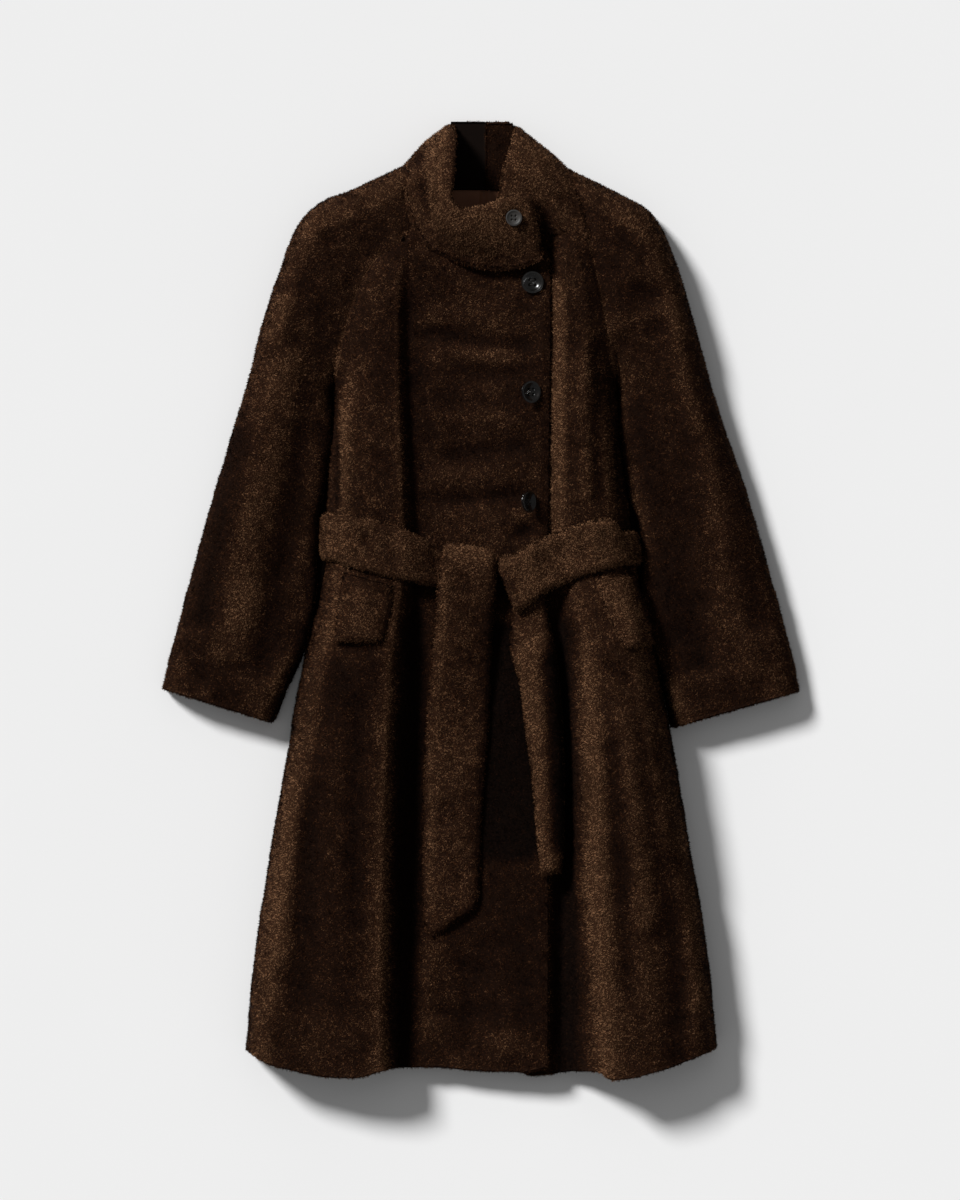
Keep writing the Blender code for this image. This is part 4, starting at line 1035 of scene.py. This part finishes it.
# ---------------------------------------------------------------- materials
def linear(code):
    """Linear colour of an sRGB hex value."""
    values = np.array([int(code[i:i + 2], 16) for i in (0, 2, 4)]) / 255
    out = np.where(values <= 0.04045, values / 12.92, ((values + 0.055) / 1.055) ** 2.4)
    return (*out.tolist(), 1.0)


def add(tree, kind, settings=None, **links):
    """Node of one kind with its settings and links. A link is named for its socket, or by
    an i and the socket's place, and its value is another node's socket or a constant."""
    node = tree.nodes.new("ShaderNode" + kind)
    for key, value in (settings or {}).items():
        setattr(node, key, value)
    for key, value in links.items():
        socket = node.inputs[int(key[1:])] if key[0] == "i" and key[1:].isdigit() else \
            node.inputs[key.replace("_", " ")]
        if isinstance(value, bpy.types.NodeSocket):
            tree.links.new(value, socket)
        else:
            socket.default_value = value
    return node


def blank(name, **constants):
    """Material with a Principled shader, and the constants set on its sockets."""
    made = bpy.data.materials.new(name)
    made.use_nodes = True
    shader = made.node_tree.nodes["Principled BSDF"]
    for key, value in constants.items():
        shader.inputs[key.replace("_", " ")].default_value = value
    return made, made.node_tree, shader


def shades(tree, pattern, stops):
    """Colours of a finish, read by its pattern: each stop is a share of the pattern and
    an sRGB hex value."""
    ramp = add(tree, "ValToRGB", Fac=pattern)
    elements = ramp.color_ramp.elements
    while len(elements) < len(stops):
        elements.new(1.0)
    for element, (position, code) in zip(elements, stops):
        element.position = position
        element.color = linear(code)
    return ramp.outputs["Color"]


def finished(tree, shader, colour, surface=None, strength=1.0, depth=0.0):
    """Lays the colour of a finish on its shader and, where the pattern of its surface is
    given, a relief `depth` m deep at the given strength."""
    tree.links.new(colour, shader.inputs["Base Color"])
    if surface is not None:
        relief = add(tree, "Bump", Strength=strength, Distance=depth, Height=surface)
        tree.links.new(relief.outputs["Normal"], shader.inputs["Normal"])


SHEEN = 0.05
FOOT_COLOUR = "110906"
# The pile's colours, read by its tone: nearly black for the painted shade of valleys,
# deep brown for flat cloth, and warm light brown for the painted highlight on crests
GROUND_STOPS = ((0.1, "050302"), (0.5, "1A0E08"), (0.95, "362215"))
TIP_STOPS = ((0.06, "080403"), (0.45, "331C0F"), (0.62, "4C2E1B"), (0.98, "90694B"))


def pile_cloth():
    """Wool pile cloth seen between its blades: the ground of the pile, darker than its
    tips, with painted shade in valleys and painted highlight on crests, mottled in 4 mm
    curls, and dull."""
    made, tree, shader = blank("wool_pile_cloth", Roughness=0.95, Specular_IOR_Level=0.03)
    place = add(tree, "TexCoord").outputs["Object"]
    strand = add(tree, "UVMap", {"uv_map": "nap"}).outputs["UV"]
    parts = add(tree, "SeparateXYZ", Vector=strand)
    curls = add(tree, "TexNoise", Vector=place, Scale=1 / (4 * MM), Detail=3.0, Roughness=0.6)
    tone = add(tree, "Mix", {"data_type": "FLOAT"}, i0=0.4, i2=parts.outputs["X"], i3=curls.outputs["Fac"])
    grain = add(tree, "TexNoise", Vector=place, Scale=1 / (2.2 * MM), Detail=2.0)
    finished(tree, shader, shades(tree, tone.outputs[0], GROUND_STOPS), grain.outputs["Fac"], 0.7, 1.2 * MM)
    return made


def pile_blades():
    """Wool blades: nearly black at the foot, warm brown towards the tip, with the painted
    shade and highlight of the cloth's tone, each a little lighter or darker than the next,
    with the bloom that wool shows at a slant."""
    made, tree, shader = blank("wool_pile_blades", Roughness=0.9, Specular_IOR_Level=0.03,
                               Sheen_Weight=SHEEN, Sheen_Roughness=0.45, Sheen_Tint=linear("C08858"))
    strand = add(tree, "UVMap", {"uv_map": "nap"}).outputs["UV"]
    parts = add(tree, "SeparateXYZ", Vector=strand)
    tips = shades(tree, parts.outputs["X"], TIP_STOPS)
    along = add(tree, "Mix", {"data_type": "RGBA"}, i0=parts.outputs["Y"], i6=linear(FOOT_COLOUR), i7=tips)
    place = add(tree, "TexCoord").outputs["Object"]
    fleck = add(tree, "TexNoise", Vector=place, Scale=1 / (2.8 * MM), Detail=1.0)
    dim = add(tree, "MapRange", i0=fleck.outputs["Fac"], i1=0.32, i2=0.68, i3=0.35, i4=1.55)
    shaded = add(tree, "VectorMath", {"operation": "SCALE"}, i0=along.outputs[2], Scale=dim.outputs[0])
    finished(tree, shader, shaded.outputs[0])
    return made


def satin_lining():
    """Satin lining: smooth, reddish brown and lightened as painted light, so that it looks lit in the
    collar's shadow, with a soft shine and faint twill ribs.
    """
    made, tree, shader = blank("satin_lining", Roughness=0.5, Specular_IOR_Level=0.15)
    place = add(tree, "TexCoord").outputs["Object"]
    cloud = add(tree, "TexNoise", Vector=place, Scale=1 / (25 * MM), Detail=2.0).outputs["Fac"]
    ribs = add(tree, "TexWave", {"bands_direction": "DIAGONAL"}, Vector=place, Scale=1 / (6 * MM))
    # Painted light: these browns are lightened so that the lining looks lit in the collar's shadow.
    browns = shades(tree, cloud, ((0, "744832"), (1, "96664C")))
    finished(tree, shader, browns, ribs.outputs["Fac"], 0.15, 0.1 * MM)
    return made


def facing_cloth():
    """Smooth close-woven facing inside the collar: almost black, with a dull face."""
    made, tree, shader = blank("woven_facing", Roughness=0.9, Specular_IOR_Level=0.03)
    place = add(tree, "TexCoord").outputs["Object"]
    weave = add(tree, "TexNoise", Vector=place, Scale=1 / (1.5 * MM), Detail=1.0).outputs["Fac"]
    finished(tree, shader, shades(tree, weave, ((0, "0D0907"), (1, "160F0C"))), weave, 0.2, 0.2 * MM)
    return made


def polyester_button(name, dark, light, roughness, cloud_mm, turning):
    """Cast polyester button, clouded like horn, with the fine rings of its turning, each
    falling towards the middle, which gather the light in a radial streak."""
    made, tree, shader = blank(name, Roughness=roughness, IOR=1.55)
    place = add(tree, "TexCoord").outputs["Object"]
    cloud = add(tree, "TexNoise", Vector=place, Scale=1 / (cloud_mm * MM), Detail=3.0, Distortion=1.5)
    radius = add(tree, "UVMap", {"uv_map": "nap"}).outputs["UV"]
    rings = add(tree, "TexWave", {"bands_direction": "X", "wave_profile": "SAW"}, Vector=radius,
                Scale=2 * math.pi / (20 * TURNING_MARK))
    depth = TURNING_MARK * math.tan(math.radians(TURNING_SLOPE)) * MM
    horn = shades(tree, cloud.outputs["Fac"], ((0.4, dark), (0.65, light)))
    finished(tree, shader, horn, rings.outputs["Fac"], turning, depth)
    return made


def sewing_thread():
    """Dark twisted sewing thread, dull, with its twist as fine ribs."""
    made, tree, shader = blank("sewing_thread", Roughness=0.8)
    place = add(tree, "TexCoord").outputs["Object"]
    twist = add(tree, "TexWave", Vector=place, Scale=1 / (1.2 * MM)).outputs["Fac"]
    finished(tree, shader, shades(tree, twist, ((0, "0A0705"), (1, "241A12"))))
    return made


def painted_board():
    """Matt painted board, pale and even, with a trace of unevenness."""
    made, tree, shader = blank("painted_board", Roughness=0.9, Specular_IOR_Level=0.1)
    place = add(tree, "TexCoord").outputs["Object"]
    cloud = add(tree, "TexNoise", Vector=place, Scale=3.0).outputs["Fac"]
    finished(tree, shader, shades(tree, cloud, ((0, "F2F2F2"), (1, "F4F4F4"))))
    return made


PILE_CLOTH = pile_cloth()
PILE_BLADES = pile_blades()
LINING_SATIN = satin_lining()
FACING = facing_cloth()
COAT_BUTTON = polyester_button("polished_button", "080706", "15120F", 0.24, 9, 1.0)
TAB_BUTTON = polyester_button("matt_button", "1F1C19", "2A2622", 0.6, 12, 0.1)
THREAD = sewing_thread()


# ---------------------------------------------------------------- cloth pieces
# Bulges of the rims: first row, last column, last row and first column
RIM = (1.5, 1.5, 1.5, 1.5)
RIGHT_SLEEVE_RIM = (1.5, 6.0, 1.5, 1.5)     # fuller beside the body
LEFT_SLEEVE_RIM = (1.5, 1.5, 1.5, 6.0)
COLLAR_RIM = (2.5, 2.0, 5.0, 6.0)
ALL_EDGES = ("first_row", "last_row", "first_column", "last_column")
# Tapers: width, least share of the thickness, edges, and 1 to round the face or 0 to thin
# the cloth from inside. The belt is turned and stuffed, so its edges are round.
PILLOW = ((9.0, 0.4, ALL_EDGES, 1),)
SEWN_FLAT = ((16.0, 0.15, ("last_row", "first_column"), 0), (8.0, 0.45, ("first_row", "last_column"), 1))
SOFT_EDGES = ((5.0, 0.6, ALL_EDGES, 1),)
EDGE_ROUNDED = ((8.0, 0.45, ("last_column",), 1),)
ONE_SIDE_FLUSH = (
    (16.0, 0.05, ("last_column",), 1), (8.0, 0.3, ("last_row",), 1), (6.0, 0.5, ("first_column",), 1),
)


def edge_share(shape, step, tapers):
    """Share of the full thickness at each point of a grid, and the part of it that is
    taken off the outer face. Each taper narrows the cloth along a quarter ellipse, from
    its full share at its width to its least share at the edges."""
    rows, columns = np.meshgrid(np.arange(shape[0]) * step, np.arange(shape[1]) * step, indexing="ij")
    away = dict(zip(ALL_EDGES, (rows, rows[::-1], columns, columns[:, ::-1])))
    share = np.ones(shape)
    lowered = np.zeros(shape)
    for width, least, edges, from_face in tapers:
        kept = blend(least, 1, rounded(np.min([away[edge] for edge in edges], 0) / width))
        lowered += from_face * share * (1 - kept)
        share *= kept
    return share, lowered


def worn(pieces, node):
    """Every piece rides on the coat with one colour slot, and the first one stands for
    its CAD node, where it has one."""
    for piece in pieces:
        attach(piece, "root")
    if node:
        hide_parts(node)


def make_cloth(name, node, grid, thickness, flat, area, held, rests_on, seed, blades, step, creases,
               bulges, tapers):
    """One cut piece with its pile: both ride on the coat, and the cloth stands for its
    CAD node. `flat` and `area`, the cut's in metres, are not used."""
    fine = spread(spread(grid, 0, step), 1, step)
    if name in SLEEVE_SIDES:
        fine = leaning(fine, *SLEEVE_SIDES[name])
    face = softened(fine, creases)
    # The tone: painted shade in valleys and painted highlight on crests, the piece's own tone, and streaks
    # of painted light and shade.
    tone = painted_shade_and_brushing(face, step) + TONE.get(name, 0.0) + pressed(face, PAINTED_LIGHT_STREAKS.get(name, ()))
    share, lowered = edge_share(face.shape[:2], step, tapers)
    face = face - normals(face) * (thickness * lowered)[..., None]
    cloth, shell = closed_cloth(name, face, thickness * share, np.clip(tone, 0, 1), bulges, PILE_CLOTH)
    nap = pile(name + "_pile", shell, blades, seed)
    worn([cloth, nap], node)


SLEEVE_SIDES = {"sleeve_right_cloth": (-1, RIGHT_SLEEVE), "sleeve_left_cloth": (1, LEFT_SLEEVE)}
# Pieces whose nap tone is set lighter than the body's
TONE = {"collar_cloth": 0.24, "belt_right_cloth": 0.22, "belt_left_cloth": 0.38, "tail_front_cloth": 0.11,
        "tail_rear_cloth": 0.20, "welt_right_cloth": 0.14, "welt_left_cloth": 0.24}
FRONT_RIGHT_FACE = front_grid(-1, RIGHT_SECTIONS, RIGHT_NECK, RIGHT_HEM, right_height)
FRONT_LEFT_FACE = front_grid(1, LEFT_SECTIONS, LEFT_NECK, LEFT_HEM, left_height)
PIECES = (
    # name, node, outer face, thickness, flat, area, held, rests on, seed, blades, step,
    # creases, bulges of the rim, tapers
    ("back_cloth", "back", back_grid(), CLOTH, (0.60, 1.11), 0.46, "laid", ["belt_back_cloth"],
     111, 30000, 10.5, (), RIM, ()),
    ("front_right_cloth", "front_right", side_tucked(tucked(FRONT_RIGHT_FACE), -1), CLOTH,
     (0.44, 1.08), 0.36, "laid", ["back_cloth"],
     121, 180000, 5.0, CREASES["front_right"], RIM, EDGE_ROUNDED),
    ("front_left_cloth", "front_left", side_tucked(tucked(FRONT_LEFT_FACE), 1), CLOTH,
     (0.30, 1.06), 0.235, "laid", ["back_cloth"],
     131, 119000, 5.0, CREASES["front_left"], RIM, ()),
    ("sleeve_right_cloth", "sleeve_right", side_tucked(tucked(sleeve_grid(-1, RIGHT_SLEEVE)), 1), CLOTH,
     (0.37, 0.75), 0.21, "laid", ["back_cloth"],
     141, 106000, 5.0, CREASES["sleeve_right"], RIGHT_SLEEVE_RIM, ()),
    ("sleeve_left_cloth", "sleeve_left", side_tucked(tucked(sleeve_grid(1, LEFT_SLEEVE)), -1), CLOTH,
     (0.37, 0.75), 0.21, "laid", ["back_cloth"],
     151, 107000, 5.0, CREASES["sleeve_left"], LEFT_SLEEVE_RIM, ()),
    ("collar_cloth", "collar", collar_grid(), COLLAR_CLOTH, (0.11, 0.60), 0.046, "folded",
     ["front_right_cloth"], 161, 26000, 3.0, CREASES["collar"], COLLAR_RIM, SEWN_FLAT),
    ("belt_right_cloth", "belt_right", stretch_grid(-1, BELT_RIGHT, RIGHT_BELT_COLUMNS), BELT_CLOTH,
     (0.062, 0.27), None, "laid", ["front_right_cloth"], 171, 9500, 3.0, CREASES["belt"], RIM, PILLOW),
    ("belt_left_cloth", "belt_left", stretch_grid(1, BELT_LEFT, LEFT_BELT_COLUMNS), BELT_CLOTH,
     (0.07, 0.30), 0.015, "laid", ["front_left_cloth"], 181, 9500, 3.0, CREASES["belt"], RIM, PILLOW),
    ("belt_back_cloth", "belt_back", belt_back_grid(), BELT_CLOTH, (0.056, 0.33), None, "laid",
     [], 191, 3000, 6.0, (), RIM, ()),
    ("tail_front_cloth", "tail_front", tail_grid(FRONT_TAIL), BELT_CLOTH, (0.077, 0.50), None, "laid",
     ["front_right_cloth"], 201, 21000, 3.0, (), RIM, PILLOW),
    ("tail_rear_cloth", "tail_rear", tail_grid(REAR_TAIL), BELT_CLOTH, (0.06, 0.35), 0.0175, "laid",
     ["front_right_cloth"], 211, 11000, 3.0, (), RIM, PILLOW),
    ("welt_right_cloth", "welt_right", welt_grid(RIGHT_WELT), WELT_CLOTH, (0.064, 0.085), None, "laid",
     ["front_right_cloth"], 221, 3600, 3.0, (), RIM, ONE_SIDE_FLUSH),
    ("welt_left_cloth", "welt_left", welt_grid(LEFT_WELT), WELT_CLOTH, (0.062, 0.095), None, "laid",
     ["front_left_cloth"], 231, 3600, 3.0, (), RIM, SOFT_EDGES),
)
for row in PIECES:
    make_cloth(*row)

# ---------------------------------------------------------------- inside of the neck
CELL = 3.0              # of a grid inside the neck
INSIDE_NAP = 0.4        # tone of the collar's pile in there
INSIDE_RIM = (0.8, 0.8, 0.8, 0.8)
INSIDE_SEED = 151


def flat_grid(left, right, low, high, z):
    """Level grid of cells of about CELL between the given edges."""
    x = np.linspace(left, right, int((right - left) / CELL) + 1)[None, :]
    y = np.linspace(high, low, int((high - low) / CELL) + 1)[:, None]
    return grid_of(x, y, z)


def inside_piece(name, grid, thickness, finish, node=None, blades=0):
    """A cloth that shows inside the neck and rests on the back."""
    tone = np.full(grid.shape[:2], INSIDE_NAP)
    cloth, shell = closed_cloth(name, grid, thickness, tone, INSIDE_RIM, finish)
    nap = [pile(name + "_pile", shell, blades, INSIDE_SEED)] if blades else []
    worn([cloth] + nap, node)


PLEAT = (3.5, 2.6, 3.4)         # the lining's pleat: x, half width, depth
SATIN_SLACK = ((0.6, 22, 10),)  # height, size, seed
FACING_SLACK = ((0.5, 30, 11),)
satin = flat_grid(-46, 40, 402, 508, 10.2)
satin[..., 2] -= PLEAT[2] * np.exp(-((satin[..., 0] - PLEAT[0]) / PLEAT[1]) ** 2)
satin[..., 2] += uneven(satin, SATIN_SLACK)
inside_piece("lining_cloth", satin, 1.2, LINING_SATIN, "lining")
facing = flat_grid(-37, 6, 507, 590, 12.0)
facing[..., 2] += uneven(facing, FACING_SLACK)
inside_piece("neck_facing", facing, 1.5, FACING)
inside_piece("collar_inside", softened(flat_grid(6, 39, 507, 588, 13.0)), 3.0, PILE_CLOTH,
             None, 1400)


# ---------------------------------------------------------------- buttons
def turned(points, centre, lean):
    """Points of an upright piece, leant about the y axis and set down at `centre`."""
    angle = math.radians(lean)
    x = points[..., 0] * math.cos(angle) + points[..., 2] * math.sin(angle)
    z = points[..., 2] * math.cos(angle) - points[..., 0] * math.sin(angle)
    return grid_of(x, points[..., 1], z) + centre


DISC_POINTS = 45
DISC_EVEN = 0.45        # share of their spacing that is even; the rest is finer at the holes
EVENLY = np.linspace(-1, 1, DISC_POINTS)
DISC_STEPS = DISC_EVEN * EVENLY + (1 - DISC_EVEN) * EVENLY ** 3
HOLE_WALL = (0.7, 0.5)  # where a hole's wall starts and its width, in radii of the hole
LEAST_BUTTON = 0.3      # least thickness, below a hole
BUTTON_RIM = (0.3, 0.3, 0.3, 0.3)
TURNED_TO = 0.86        # share of the radius up to which the turning shows
# A thread bar's grid: along it, from hole to hole, and across it, in mm
THREAD_ALONG = np.linspace(-1, 1, 9)[None, :]
THREAD_ACROSS = np.linspace(0.35, -0.35, 5)[:, None]
THREAD_RISE = 0.55      # height of a bar over the button's middle
THREAD_DIVE = 1.6       # how deep its ends go into the holes
THREAD_ROUND = 0.8      # fall from its middle to its rims, for each mm squared
THREAD_CLOTH = 0.5
THREAD_RIM = (0.1, 0.1, 0.1, 0.1)


def button(node, radius, lean, lift, finish):
    """A dished button with four holes and its thread. A square grid is laid on the disc
    ring by ring: the larger of |a| and |b| is the radius, their ratio the angle."""
    low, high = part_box(node)
    rise = np.array([math.sin(math.radians(lean)), 0, math.cos(math.radians(lean))]) * lift
    centre = (np.array(low) + np.array(high)) / 2 / MM + rise
    a, b = np.meshgrid(DISC_STEPS, -DISC_STEPS)
    ring = np.maximum(np.abs(a), np.abs(b))
    wide = np.abs(a) > np.abs(b)
    larger = np.where(wide, a, b)
    ratio = np.where(wide, b, a) / np.where(ring > 0, larger, 1)
    angle = np.where(wide, ratio * math.pi / 4, math.pi / 2 - ratio * math.pi / 4)
    reach = np.where(larger < 0, -1, 1) * ring * radius
    x, y = reach * np.cos(angle), reach * np.sin(angle)
    z = curve(column(BUTTON_FORM, 0), column(BUTTON_FORM, 1), ring)
    hole = HOLE_RADIUS * radius
    place = HOLE_PLACE * radius
    away = np.hypot(np.abs(x) - place, np.abs(y) - place)
    z = z - HOLE_DEPTH * (1 - smooth_step((away - HOLE_WALL[0] * hole) / (HOLE_WALL[1] * hole)))
    face = turned(grid_of(x, y, z - HALF_BUTTON), centre, lean)
    turning = np.minimum(ring, TURNED_TO) * radius
    made, _ = closed_cloth(node + "_turned", face, np.maximum(z, LEAST_BUTTON), turning, BUTTON_RIM, finish)
    worn([made], node)
    height = BUTTON_FORM[0][1] + THREAD_RISE - THREAD_DIVE * THREAD_ALONG ** 6
    height = height - THREAD_ROUND * THREAD_ACROSS ** 2 - HALF_BUTTON
    for row, side in (("upper", 1), ("lower", -1)):
        bar = turned(grid_of(THREAD_ALONG * place, side * place + THREAD_ACROSS, height), centre, lean)
        thread, _ = closed_cloth(node + "_thread_" + row, bar, THREAD_CLOTH, np.zeros(height.shape),
                                 THREAD_RIM, THREAD)
        worn([thread], None)


for node, _, _, radius, lean, lift in BUTTONS:
    on_tab = node == "button_tab"
    button(node, radius, lean, lift, TAB_BUTTON if on_tab else COAT_BUTTON)

# ---------------------------------------------------------------- floor, light, camera
HALF_FLOOR = 6000.0
FLOOR_CORNERS = np.array([[-1, -1, 0], [1, -1, 0], [1, 1, 0], [-1, 1, 0]]) * HALF_FLOOR
mesh_object("floor", FLOOR_CORNERS, np.array([[0, 1, 2, 3]]), painted_board())

KEY_FROM = Vector((-0.586, 0.586, 0.559))   # from the upper left, 34 degrees above the floor
KEY_STRENGTH = 4.2
KEY_SPREAD = 13                             # degrees, which softens the shadow's edge
ROOM_STRENGTH = 0.21                        # even light of the room, which fills the shadow
key = bpy.data.lights.new("key", "SUN")
key.energy = KEY_STRENGTH
key.angle = math.radians(KEY_SPREAD)
placed("key", key).rotation_euler = KEY_FROM.to_track_quat("Z", "Y").to_euler()

world = bpy.data.worlds.new("studio")
world.use_nodes = True
room = world.node_tree.nodes["Background"].inputs
room["Color"].default_value = (1.0, 1.0, 1.0, 1.0)
room["Strength"].default_value = ROOM_STRENGTH
bpy.context.scene.world = world
bpy.context.scene.view_settings.view_transform = "Standard"

CAMERA_PLACE = (-0.0012, -0.0006, 9.0)      # in metres, straight above the coat's middle
SHARP_AT = 0.02                             # height at which a pixel is PIXEL wide
PIXEL = 1.235                               # mm
IMAGE_ROWS = 1200
SENSOR = 36.0
camera = bpy.data.cameras.new("camera")
camera.sensor_width = SENSOR
camera.lens = SENSOR * (CAMERA_PLACE[2] - SHARP_AT) / (IMAGE_ROWS * PIXEL * MM)
camera.clip_end = 50.0
view = placed("camera", camera)
view.location = CAMERA_PLACE
bpy.context.scene.camera = view
